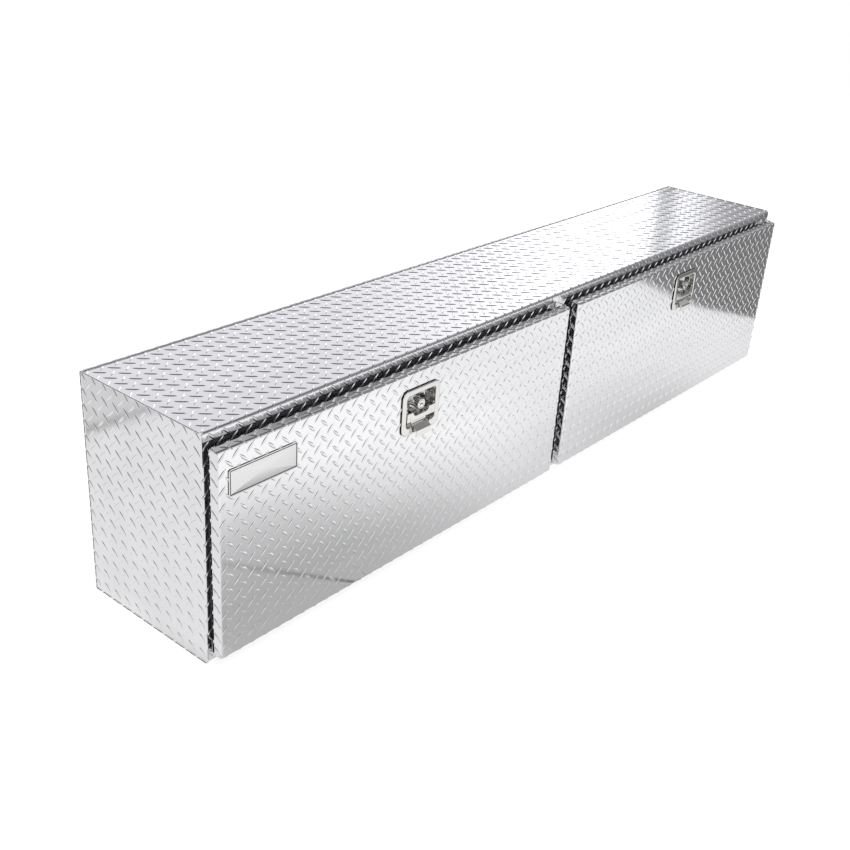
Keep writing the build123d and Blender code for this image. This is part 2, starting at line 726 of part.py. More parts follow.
    with BuildPart() as lock_cam:
        with BuildSketch(latch_plane(middle_x, cam_front)):
            with Locations((0, lock_up - cam_reach / 2)):
                Rectangle(cam_width, cam_reach)
            with Locations((0, lock_up)):
                Circle(tail_radius + cam_rim)
                Circle(tail_radius + fixed_clearance, mode=Mode.SUBTRACT)
        extrude(amount=-cam_thickness)
    save(lock_cam, f"{name}_lock_cam")

    # ---- bolt, the guide that carries it, and its spring --------------------------------------------
    web_across = bolt_half_width + bolt_side_clearance
    with BuildPart() as bolt_guide:
        with BuildSketch(latch_plane(middle_x, dish_back)):
            with Locations((0, (guide_top + guide_bottom) / 2)):
                Rectangle(2 * guide_half_width, guide_top - guide_bottom)
            with Locations((0, lock_up)):
                Circle(lock_neck_radius + fixed_clearance, mode=Mode.SUBTRACT)
            guide_slot_bottom = arm_slot_bottom - arm_clearance
            with Locations((0, (arm_slot_top + guide_slot_bottom) / 2)):
                Rectangle(
                    arm_width + 2 * arm_clearance, arm_slot_top - guide_slot_bottom, mode=Mode.SUBTRACT
                )
        extrude(amount=-guide_sheet)
        for side in (-1, 1):
            with BuildSketch(latch_plane(middle_x, dish_back)):
                with Locations((side * (web_across + guide_sheet / 2), (guide_top + guide_bottom) / 2)):
                    Rectangle(guide_sheet, guide_top - guide_bottom)
            extrude(amount=-(lip_front + guide_sheet - dish_back))
            with BuildSketch(latch_plane(middle_x, lip_front)):
                lip_across = web_across + guide_sheet - guide_lip / 2
                with Locations((side * lip_across, (guide_top + bolt_bottom) / 2)):
                    Rectangle(guide_lip, guide_top - bolt_bottom)
            extrude(amount=-guide_sheet)
        with BuildSketch(latch_plane(middle_x, dish_back)):
            with Locations((0, guide_bottom + guide_sheet / 2)):
                Rectangle(2 * web_across, guide_sheet)
        extrude(amount=-(lip_front + guide_sheet - dish_back))
    save(bolt_guide, f"{name}_bolt_guide")

    with BuildPart() as bolt:
        with BuildSketch(latch_plane(middle_x, bolt_front)):
            with Locations((0, (bolt_top + bolt_bottom) / 2)):
                Rectangle(2 * bolt_half_width, bolt_top - bolt_bottom)
            window_top = lock_up + lock_tail_side + bolt_travel + fork_clearance
            window_bottom = lock_up - lock_tail_side
            with Locations((0, (window_top + window_bottom) / 2)):
                Rectangle(2 * lock_tail_side, window_top - window_bottom, mode=Mode.SUBTRACT)
            with Locations((0, paddle_pin_up)):
                fork_gap = 2 * (arm_tip_radius + fork_clearance)
                Rectangle(arm_width + 2 * arm_clearance, fork_gap, mode=Mode.SUBTRACT)
        extrude(amount=-bolt_thickness)
        chamfer(
            bolt.edges().filter_by(Axis.X).group_by(Axis.Z)[-1].sort_by(Axis.Y)[-1], length=bolt_bevel
        )
        # fork that the paddle's arm works in, as far forward as the pulled arm's tip comes
        fork_front = paddle_pin_in + arm_reach * cos(radians(paddle_pull)) - fork_clearance
        for side in (-1, 1):
            lip_up = paddle_pin_up + side * (fork_gap + fork_lip) / 2
            with BuildSketch(latch_plane(middle_x, fork_front)):
                with Locations((0, lip_up)):
                    Rectangle(2 * arm_width, fork_lip)
            extrude(amount=-(bolt_front - fork_front))
        # lug that the locked cam stands under
        lug_bottom = lock_up + cam_width / 2 + bolt_side_clearance
        with BuildSketch(latch_plane(middle_x, bolt_back)):
            lug_across = tail_radius + cam_rim + lug_clearance + lug_width / 2
            with Locations((lug_across, lug_bottom + lug_height / 2)):
                Rectangle(lug_width, lug_height)
        extrude(amount=-(cam_front + cam_thickness - bolt_back))
    save(bolt, f"{name}_bolt")

    spring_bottom = guide_bottom + guide_sheet
    spring_height = bolt_bottom - spring_bottom - spring_wire
    with BuildPart() as bolt_spring:
        spring_foot = (
            middle_x,
            door_y + bolt_front + bolt_thickness / 2,
            latch_z + spring_bottom + spring_wire / 2,
        )
        with BuildLine():
            spring_path = Helix(
                pitch=spring_height / bolt_spring_turns,
                height=spring_height,
                radius=bolt_spring_radius,
                center=spring_foot,
            )
        with BuildSketch(Plane(origin=spring_path @ 0, z_dir=spring_path % 0)):
            Circle(spring_wire / 2)
        sweep(path=spring_path, is_frenet=True)
    save(bolt_spring, f"{name}_bolt_spring")

# ==== generic nameplate on the left door ================================================================
with BuildPart() as nameplate:
    plate_x = -door_middle_x - door_width / 2 + nameplate_from_edge + nameplate_width / 2
    plate_z = door_top - nameplate_below_top - nameplate_height / 2
    with BuildSketch(face_plane(plate_x, door_y, plate_z)):
        RectangleRounded(nameplate_width, nameplate_height, nameplate_corner)
    extrude(amount=nameplate_thickness)
save(nameplate, "nameplate")
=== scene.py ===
"""Looks of the two-door truck tool box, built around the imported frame.

Metres throughout. +X runs along the length, -Y is the door side and +Z is up.
"""

from __future__ import annotations

import json
import logging
import math
from dataclasses import dataclass, field
from enum import Enum
from typing import Any, Sequence

import bmesh
import bpy
import numpy as np
from mathutils import Matrix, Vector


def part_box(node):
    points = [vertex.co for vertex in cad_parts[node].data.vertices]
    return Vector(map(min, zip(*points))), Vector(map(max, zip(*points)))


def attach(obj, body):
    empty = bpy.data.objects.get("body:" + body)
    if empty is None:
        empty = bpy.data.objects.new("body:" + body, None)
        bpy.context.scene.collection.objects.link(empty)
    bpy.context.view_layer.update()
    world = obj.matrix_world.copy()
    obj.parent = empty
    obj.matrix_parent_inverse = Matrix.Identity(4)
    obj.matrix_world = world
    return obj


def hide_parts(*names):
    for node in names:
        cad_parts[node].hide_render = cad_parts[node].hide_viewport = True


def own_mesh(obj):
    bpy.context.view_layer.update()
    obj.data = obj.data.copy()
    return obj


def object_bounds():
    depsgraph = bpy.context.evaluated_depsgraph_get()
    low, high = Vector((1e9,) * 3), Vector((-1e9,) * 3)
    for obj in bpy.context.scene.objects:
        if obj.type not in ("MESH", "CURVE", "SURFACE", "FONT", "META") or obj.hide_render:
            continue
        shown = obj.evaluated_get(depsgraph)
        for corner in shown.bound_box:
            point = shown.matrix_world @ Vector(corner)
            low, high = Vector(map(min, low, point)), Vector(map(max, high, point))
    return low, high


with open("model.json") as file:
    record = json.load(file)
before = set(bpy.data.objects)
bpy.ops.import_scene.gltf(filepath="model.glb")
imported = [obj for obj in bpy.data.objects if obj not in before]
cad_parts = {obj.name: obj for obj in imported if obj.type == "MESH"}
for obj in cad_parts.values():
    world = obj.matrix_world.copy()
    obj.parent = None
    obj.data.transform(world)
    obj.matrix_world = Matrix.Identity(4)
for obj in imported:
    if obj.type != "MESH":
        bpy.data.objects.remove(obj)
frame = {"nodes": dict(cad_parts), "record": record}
CAD_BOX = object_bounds()
LOG = logging.getLogger("tool_box")
MM = 0.001
Array = np.ndarray


class Hand(Enum):
    """Which of the two doors a piece belongs to."""

    LEFT = "left"
    RIGHT = "right"

    def node(self, name: str) -> str:
        """Name of this door's CAD node."""
        return f"{self.value}_{name}"


class Slot(Enum):
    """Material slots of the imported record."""

    TREAD = "tread_plate"
    SMOOTH = "smooth_aluminium"
    POLISHED = "polished_stainless"
    SHEET = "stainless_sheet"
    ZINC = "zinc_steel"
    SPRING = "spring_steel"
    RIVET = "rivet_aluminium"
    CHROME = "lock_chrome"
    RUBBER = "seal_rubber"
    PLATE = "nameplate_metal"


# ---- shader expressions ------------------------------------------------------------------------------


class Wire:
    """A shader socket that takes part in Python arithmetic; each operation adds one Math node."""

    def __init__(self, shader: "Shader", socket: bpy.types.NodeSocket) -> None:
        """Wrap an output socket of the shader's tree."""
        self.shader = shader
        self.socket = socket

    def _math(self, operation: str, first: Any, second: Any = 0.0) -> "Wire":
        """One Math node on two values or wires."""
        return self.shader.node("ShaderNodeMath", {"operation": operation}, [first, second])

    def __add__(self, other: Any) -> "Wire":
        """Sum."""
        return self._math("ADD", self, other)

    __radd__ = __add__

    def __mul__(self, other: Any) -> "Wire":
        """Product."""
        return self._math("MULTIPLY", self, other)

    __rmul__ = __mul__

    def __sub__(self, other: Any) -> "Wire":
        """Difference."""
        return self._math("SUBTRACT", self, other)

    def __rsub__(self, other: Any) -> "Wire":
        """Difference with the wire on the right."""
        return self._math("SUBTRACT", other, self)

    def __abs__(self) -> "Wire":
        """Size without sign."""
        return self._math("ABSOLUTE", self)

    def above(self, edge: Any, softness: float) -> "Wire":
        """0 below the edge and 1 above it, with a smooth step of the given width between."""
        low = edge - softness / 2
        settings = {"interpolation_type": "SMOOTHSTEP"}
        return self.shader.node("ShaderNodeMapRange", settings, [self, low, low + softness, 0.0, 1.0])

    def at_least(self, other: Any) -> "Wire":
        """The larger of the wire and another value."""
        return self._math("MAXIMUM", self, other)

    def within(self, low: float, high: float, softness: float) -> "Wire":
        """1 between two edges and 0 outside them."""
        return self.above(low, softness) * (1 - self.above(high, softness))


class Shader:
    """Node tree of one finish or of the world, written through expressions."""

    def __init__(self, owner: bpy.types.ID) -> None:
        """Clear the owner's tree and start afresh."""
        owner.use_nodes = True
        self.tree = owner.node_tree
        self.tree.nodes.clear()

    def node(
        self, kind: str, settings: dict[str, Any] | None = None, inputs: Any = (), output: Any = 0
    ) -> Wire:
        """Add a node.

        Args:
            kind: the node's type.
            settings: attributes set before its sockets.
            inputs: values or wires, by position or by socket name.
            output: the socket that is returned, by position or name.

        Returns:
            The chosen output.
        """
        made = self.tree.nodes.new(kind)
        for key, value in (settings or {}).items():
            setattr(made, key, value)
        pairs = inputs.items() if isinstance(inputs, dict) else enumerate(inputs)
        for key, value in pairs:
            if isinstance(value, Wire):
                self.tree.links.new(value.socket, made.inputs[key])
            else:
                made.inputs[key].default_value = value
        return Wire(self, made.outputs[output] if made.outputs else None)

    def place(self, scale: Sequence[float] = (1, 1, 1)) -> Wire:
        """Object coordinates, stretched by a scale along each axis."""
        place = self.node("ShaderNodeTexCoord", output="Object")
        return self.node("ShaderNodeMapping", inputs={"Vector": place, "Scale": tuple(scale)})

    def noise(self, scale: Sequence[float], detail: float = 3.0, roughness: float = 0.5) -> Wire:
        """Cloudy noise between 0 and 1 on stretched Object coordinates."""
        values = {"Vector": self.place(scale), "Scale": 1.0, "Detail": detail, "Roughness": roughness}
        return self.node("ShaderNodeTexNoise", inputs=values)

    def tint(self, amount: Wire, first: Sequence[float], second: Sequence[float]) -> Wire:
        """Mix of two colours: the first at 0 and the second at 1."""
        inputs = {0: amount, 6: (*first, 1), 7: (*second, 1)}
        return self.node("ShaderNodeMix", {"data_type": "RGBA"}, inputs, 2)

    def parts(self, vector: Wire) -> list[Wire]:
        """The three parts of a vector."""
        split = self.node("ShaderNodeSeparateXYZ", inputs=[vector])
        return [Wire(self, socket) for socket in split.socket.node.outputs]

    def bump(self, height: Wire, distance: float, strength: float = 1.0) -> Wire:
        """Normal of a surface raised by height times distance."""
        values = {"Height": height, "Distance": distance, "Strength": strength}
        return self.node("ShaderNodeBump", inputs=values)


@dataclass(frozen=True)
class Finish:
    """A finish: its name, its plain sockets, and the pattern that its subclass adds."""

    name: str
    colour: tuple[float, float, float]
    roughness: float
    metallic: float = 1.0

    def pattern(self, shader: Shader) -> dict[str, Any]:
        """Sockets of the surface that vary over it, or that its subclass sets; a plain finish has none."""
        return {}

    def material(self) -> bpy.types.Material:
        """The finish as a material, made once and then shared."""
        known = bpy.data.materials.get(self.name)
        if known:
            return known
        made = bpy.data.materials.new(self.name)
        shader = Shader(made)
        values = {
            "Base Color": (*self.colour, 1.0),
            "Roughness": self.roughness,
            "Metallic": self.metallic,
        }
        values.update(self.pattern(shader))
        surface = shader.node("ShaderNodeBsdfPrincipled", inputs=values)
        shader.node("ShaderNodeOutputMaterial", inputs={"Surface": surface})
        return made


@dataclass(frozen=True)
class RolledBright(Finish):
    """Bright rolled aluminium: long faint rolling lines, cloudy haze and slow waves of the sheet."""

    wave_height: float = 0.5 * MM

    def pattern(self, shader: Shader) -> dict[str, Any]:
        """Haze in the roughness, greyer smears in the colour, and waves and lines in the normal."""
        haze = shader.noise((9, 9, 9), 5.0, 0.6)
        lines = shader.noise((6, 420, 420), 2.0)
        smear = shader.noise((3.1, 14, 14), 4.0, 0.65)
        grain = shader.noise((900, 900, 900), 2.0)
        waves = shader.noise((2.6, 3.4, 3.4), 1.0, 0.3)
        dark = tuple(0.92 * c for c in self.colour)
        mixed = shader.tint(smear.above(0.5, 0.5) * 0.7, self.colour, dark)
        fine = shader.bump(lines * 0.6 + grain * 0.4, 0.006 * MM, 0.5)
        slow = shader.node(
            "ShaderNodeBump", inputs={"Height": waves, "Distance": self.wave_height, "Normal": fine}
        )
        rough = self.roughness + 0.08 * (haze - 0.45) + 0.05 * (lines - 0.5) + 0.03 * smear
        return {"Base Color": mixed, "Roughness": rough, "Normal": slow}


@dataclass(frozen=True)
class Brushed(Finish):
    """Brushed sheet metal: fine lines along X and faint stains."""

    line_depth: float = 0.01 * MM

    def pattern(self, shader: Shader) -> dict[str, Any]:
        """Lines in the normal and the roughness, stains in the colour."""
        lines = shader.noise((20, 1500, 1500), 2.0)
        stain = shader.noise((14, 22, 22), 4.0, 0.6)
        dark = tuple(0.82 * c for c in self.colour)
        return {
            "Base Color": shader.tint(stain.above(0.52, 0.4) * 0.6, self.colour, dark),
            "Roughness": self.roughness + 0.16 * (lines - 0.5) + 0.08 * (stain - 0.5),
            "Normal": shader.bump(lines, self.line_depth),
        }


@dataclass(frozen=True)
class Polished(Finish):
    """Buffed metal: almost a mirror, with faint swirls and finger haze."""

    def pattern(self, shader: Shader) -> dict[str, Any]:
        """Haze in the roughness and swirls in the normal."""
        haze = shader.noise((45, 45, 45), 5.0, 0.6)
        swirl = shader.noise((500, 160, 500), 3.0)
        return {
            "Roughness": self.roughness + 0.10 * haze.above(0.5, 0.5),
            "Normal": shader.bump(swirl, 0.006 * MM, 0.6),
        }


@dataclass(frozen=True)
class Rubber(Finish):
    """Moulded rubber: fine pores and a dusty bloom."""

    def pattern(self, shader: Shader) -> dict[str, Any]:
        """Bloom in the colour and pores in the normal."""
        bloom = shader.noise((35, 35, 35), 4.0)
        pores = shader.noise((1400, 1400, 1400), 2.0)
        pale = tuple(c + 0.035 for c in self.colour)
        return {
            "Base Color": shader.tint(bloom.above(0.55, 0.3), self.colour, pale),
            "Roughness": self.roughness + 0.2 * (bloom - 0.5),
            "Normal": shader.bump(pores, 0.05 * MM),
        }


TREAD = RolledBright("bright_tread_aluminium", (0.93, 0.93, 0.945), 0.10)
MILL = Brushed("mill_aluminium", (0.80, 0.81, 0.82), 0.34)
SATIN = Brushed("satin_stainless", (0.66, 0.65, 0.64), 0.30)
BUFFED = Polished("buffed_stainless", (0.80, 0.79, 0.77), 0.07)
ZINCED = Brushed("bright_zinc", (0.66, 0.68, 0.70), 0.30)
SPRING = Brushed("oiled_spring_steel", (0.30, 0.30, 0.32), 0.28)
CHROMED = Polished("chromed_lock", (0.86, 0.86, 0.87), 0.05)
BLACK_RUBBER = Rubber("black_rubber", (0.018, 0.018, 0.019), 0.55, 0.0)
RIVETED = Brushed("rivet_aluminium", (0.78, 0.79, 0.80), 0.32)


# ---- surfaces ------------------------------------------------------------------------------------------


def put_mesh(name: str, points: Array, quads: Array, sharp: float = 35.0) -> bpy.types.Object:
    """Put a surface into a mesh object at the origin.

    Args:
        name: the piece's name.
        points: corners, one row each.
        quads: four corner numbers to a row, in order round the face as seen from outside.
        sharp: edges that turn by more than this many degrees are left sharp.

    Returns:
        The new object, linked to the scene, with corners that coincide made one.
    """
    mesh = bpy.data.meshes.new(name)
    mesh.from_pydata(points.reshape(-1, 3).tolist(), [], quads.tolist())
    surface = bmesh.new()
    surface.from_mesh(mesh)
    bmesh.ops.remove_doubles(surface, verts=surface.verts, dist=0.002 * MM)
    surface.to_mesh(mesh)
    surface.free()
    mesh.polygons.foreach_set("use_smooth", np.ones(len(mesh.polygons), bool))
    mesh.set_sharp_from_angle(angle=math.radians(sharp))
    made = bpy.data.objects.new(name, mesh)
    bpy.context.collection.objects.link(made)
    return made


def dress(piece: bpy.types.Object, finish: Finish, body: str, slot: Slot, *nodes: str) -> None:
    """Give a piece its finish and the body that it rides on, and hide the CAD nodes that it replaces."""
    piece.data.materials.append(finish.material())
    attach(piece, body)
    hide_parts(*nodes)


def grid_quads(rows: int, columns: int, around: bool = False, tube: bool = False) -> Array:
    """Faces of a grid of points: each joins a point, its right and lower neighbours and the one between.

    Args:
        rows: points down.
        columns: points across.
        around: whether the last column joins the first.
        tube: whether the last row joins the first.

    Returns:
        Corner numbers, by row, column and corner.
    """
    down = rows if tube else rows - 1
    across = columns if around else columns - 1
    i, j = np.meshgrid(np.arange(down), np.arange(across), indexing="ij")
    below, right = (i + 1) % rows * columns, (j + 1) % columns
    return np.stack([i * columns + j, i * columns + right, below + right, below + j], -1)


def clean(points: Array, quads: Array) -> Array:
    """Drop faces with almost no area: half the length of the cross product of a quad's diagonals."""
    a, b, c, d = (points[quads[:, k]] for k in range(4))
    area = 0.5 * np.linalg.norm(np.cross(c - a, d - b), axis=1)
    return quads[area > 1e-10]


def outward(points: Array, quads: Array) -> tuple[Array, Array]:
    """Turn a closed surface's faces outwards if its volume, summed over its triangles, is negative."""
    centred = points - points.mean(axis=0)
    a, b, c, d = (centred[quads[:, k]] for k in range(4))
    volume = np.einsum("ij,ij->", a, np.cross(b, c)) + np.einsum("ij,ij->", a, np.cross(c, d))
    return points, quads if volume > 0 else quads[:, ::-1]


def closed_surface(loops: Array, tube: bool = False) -> tuple[Array, Array]:
    """Join closed lines of equally many points into a surface that faces outwards.

    Args:
        loops: points by line, place in the line and axis.
        tube: whether the last line joins the first.

    Returns:
        Points and quads.
    """
    points = loops.reshape(-1, 3)
    quads = grid_quads(*loops.shape[:2], around=True, tube=tube).reshape(-1, 4)
    return outward(points, clean(points, quads))


def join(*pieces: tuple[Array, Array]) -> tuple[Array, Array]:
    """Several (points, quads) as one, with the corner numbers moved on."""
    starts = np.cumsum([0] + [len(p) for p, _ in pieces[:-1]])
    points = np.concatenate([p for p, _ in pieces])
    return points, np.concatenate([q + s for (_, q), s in zip(pieces, starts)])


def shell(outer: Array, inner: Array, keep: Array) -> tuple[Array, Array]:
    """A sheet between two grids of points, with its cut edges closed.

    Args:
        outer: the outside surface, rows by columns by 3.
        inner: the inside surface, of the same size.
        keep: which cells of the grid are there, rows - 1 by columns - 1.

    Returns:
        Points and quads of the closed sheet.
    """
    rows, columns = outer.shape[:2]
    count = rows * columns
    cells = grid_quads(rows, columns)
    faces = [cells[keep], cells[keep][:, ::-1] + count]
    padded = np.pad(keep, 1)
    # each side of a cell: the neighbour beyond it, and the side's two corners within the cell
    sides = (((0, 1), (0, 1)), ((1, 2), (1, 2)), ((2, 1), (2, 3)), ((1, 0), (3, 0)))
    for (down, along), (start, end) in sides:
        beyond = padded[down : down + rows - 1, along : along + columns - 1]
        edge = cells[keep & ~beyond]
        faces.append(
            np.stack([edge[:, end], edge[:, start], edge[:, start] + count, edge[:, end] + count], -1)
        )
    points = np.concatenate([outer.reshape(-1, 3), inner.reshape(-1, 3)])
    return outward(points, clean(points, np.concatenate(faces)))


def rounded_loop(
    half: Sequence[float],
    radius: float,
    centre: Sequence[float] = (0, 0),
    steps: int = 6,
    side: Sequence[float] = (),
) -> Array:
    """A rounded rectangle: quarter circles round four corner centres, anticlockwise, and sides between.

    Args:
        half: half its width and half its height.
        radius: of its corners.
        centre: of the rectangle.
        steps: spans in each quarter circle.
        side: places of further points along each straight side, from 0 to 1.

    Returns:
        Its points, two columns.
    """
    turn = np.linspace(0, math.pi / 2, steps + 1)
    signs = np.array([(1, 1), (-1, 1), (-1, -1), (1, -1)])
    middles = np.array(centre) + signs * (np.array(half) - radius)
    quarters = [
        middle + radius * np.stack([np.cos(turn + k * math.pi / 2), np.sin(turn + k * math.pi / 2)], -1)
        for k, middle in enumerate(middles)
    ]
    fraction = np.reshape(side, (-1, 1))
    runs = [q[-1] + fraction * (n[0] - q[-1]) for q, n in zip(quarters, quarters[1:] + quarters[:1])]
    return np.concatenate([part for pair in zip(quarters, runs) for part in pair])


def turned(
    middle: Array, axis: Array, profile: Sequence[tuple[float, float]], count: int, tube: bool = False
) -> tuple[Array, Array]:
    """A turned piece: each point of a profile (radius, way along the axis, in millimetres) makes a circle."""
    first = np.roll(axis, 1)
    second = np.cross(axis, first)
    angle = np.linspace(0, 2 * math.pi, count, endpoint=False)[:, None]
    circle_of = np.cos(angle) * first + np.sin(angle) * second
    sizes = np.array(profile) * MM
    loops = middle + sizes[:, 0, None, None] * circle_of + sizes[:, 1, None, None] * axis
    return closed_surface(loops, tube)


def weld_bead(start: Array, end: Array, radius: float, ripple: float = 4.8 * MM) -> tuple[Array, Array]:
    """A weld bead: circles along a line, their radius swelling by a sine of the way along it."""
    length = float(np.linalg.norm(end - start))
    axis = (end - start) / length
    first = np.roll(axis, 1)
    along = np.linspace(0, length, int(length / ripple * 4) + 1)[:, None, None]
    size = radius * (0.94 + 0.06 * np.sin(2 * math.pi / ripple * along))
    turn = np.linspace(0, 2 * math.pi, 8, endpoint=False)[:, None]
    loops = start + along * axis + size * (np.cos(turn) * first + np.sin(turn) * np.cross(axis, first))
    tips = [np.broadcast_to(tip, (1, len(turn), 3)) for tip in (start, end)]
    return closed_surface(np.concatenate([tips[0], loops, tips[1]]))


def bent_path(corners: Sequence[Sequence[float]], radius: float, steps: int) -> Array:
    """A line through corners, each inner one rounded by a quadratic curve that starts a radius from it."""
    corners = np.array(corners, float)
    t = np.linspace(0, 1, steps + 1)[:, None]
    parts = [corners[:1]]
    for before, corner, after in zip(corners, corners[1:], corners[2:]):
        start = corner + (before - corner) / np.linalg.norm(before - corner) * radius
        end = corner + (after - corner) / np.linalg.norm(after - corner) * radius
        parts.append((1 - t) ** 2 * start + 2 * t * (1 - t) * corner + t**2 * end)
    return np.concatenate([*parts, corners[-1:]])


def arc(centre: Sequence[float], radius: float, start: float, end: float, count: int = 12) -> list:
    """Points of an arc between two angles in degrees."""
    angle = np.radians(np.linspace(start, end, count))
    return [(centre[0] + radius * math.cos(t), centre[1] + radius * math.sin(t)) for t in angle]


def face_on(points: Array, quads: Array, direction: Array) -> Array:
    """Turn all faces over if the first one looks against the given outward direction."""
    a, b, c, d = (points[quads[0, k]] for k in range(4))
    return quads if np.dot(np.cross(c - a, d - b), direction) > 0 else quads[:, ::-1]


@dataclass(frozen=True)
class Fold:
    """An edge of a flat sheet: how far out the flat runs, the bend's radius, and the run after it."""

    flat: float
    radius: float = 0.0
    flange: float = 0.0

    @property
    def reach(self) -> float:
        """Length of the flat pattern from the sheet's middle to this edge."""
        return self.flat + self.radius * math.pi / 2 + self.flange


def wrap(along: Array, folds: tuple[Fold, Fold]) -> tuple[Array, Array, Array]:
    """Carry distances along a flat pattern round the bends at its two ends.

    Within the flats a distance stays; in a bend it turns by (distance - flat) / radius; past the bend it
    runs straight inwards.

    Args:
        along: signed distances from the sheet's middle.
        folds: at the negative and the positive end.

    Returns:
        The place along the face, the depth behind it, and the angle that the surface leans.
    """
    place, depth, lean = along.copy(), np.zeros_like(along), np.zeros_like(along)
    for sign, fold in zip((-1, 1), folds):
        if not fold.radius:
            continue
        past = sign * along - fold.flat
        turn = np.clip(past / fold.radius, 0, math.pi / 2)
        run = np.clip(past - fold.radius * math.pi / 2, 0, None)
        inside = past > 0
        place = np.where(inside, sign * (fold.flat + fold.radius * np.sin(turn)), place)
        depth = np.where(inside, fold.radius * (1 - np.cos(turn)) + run, depth)
        lean = np.where(inside, sign * turn, lean)
    return place, depth, lean


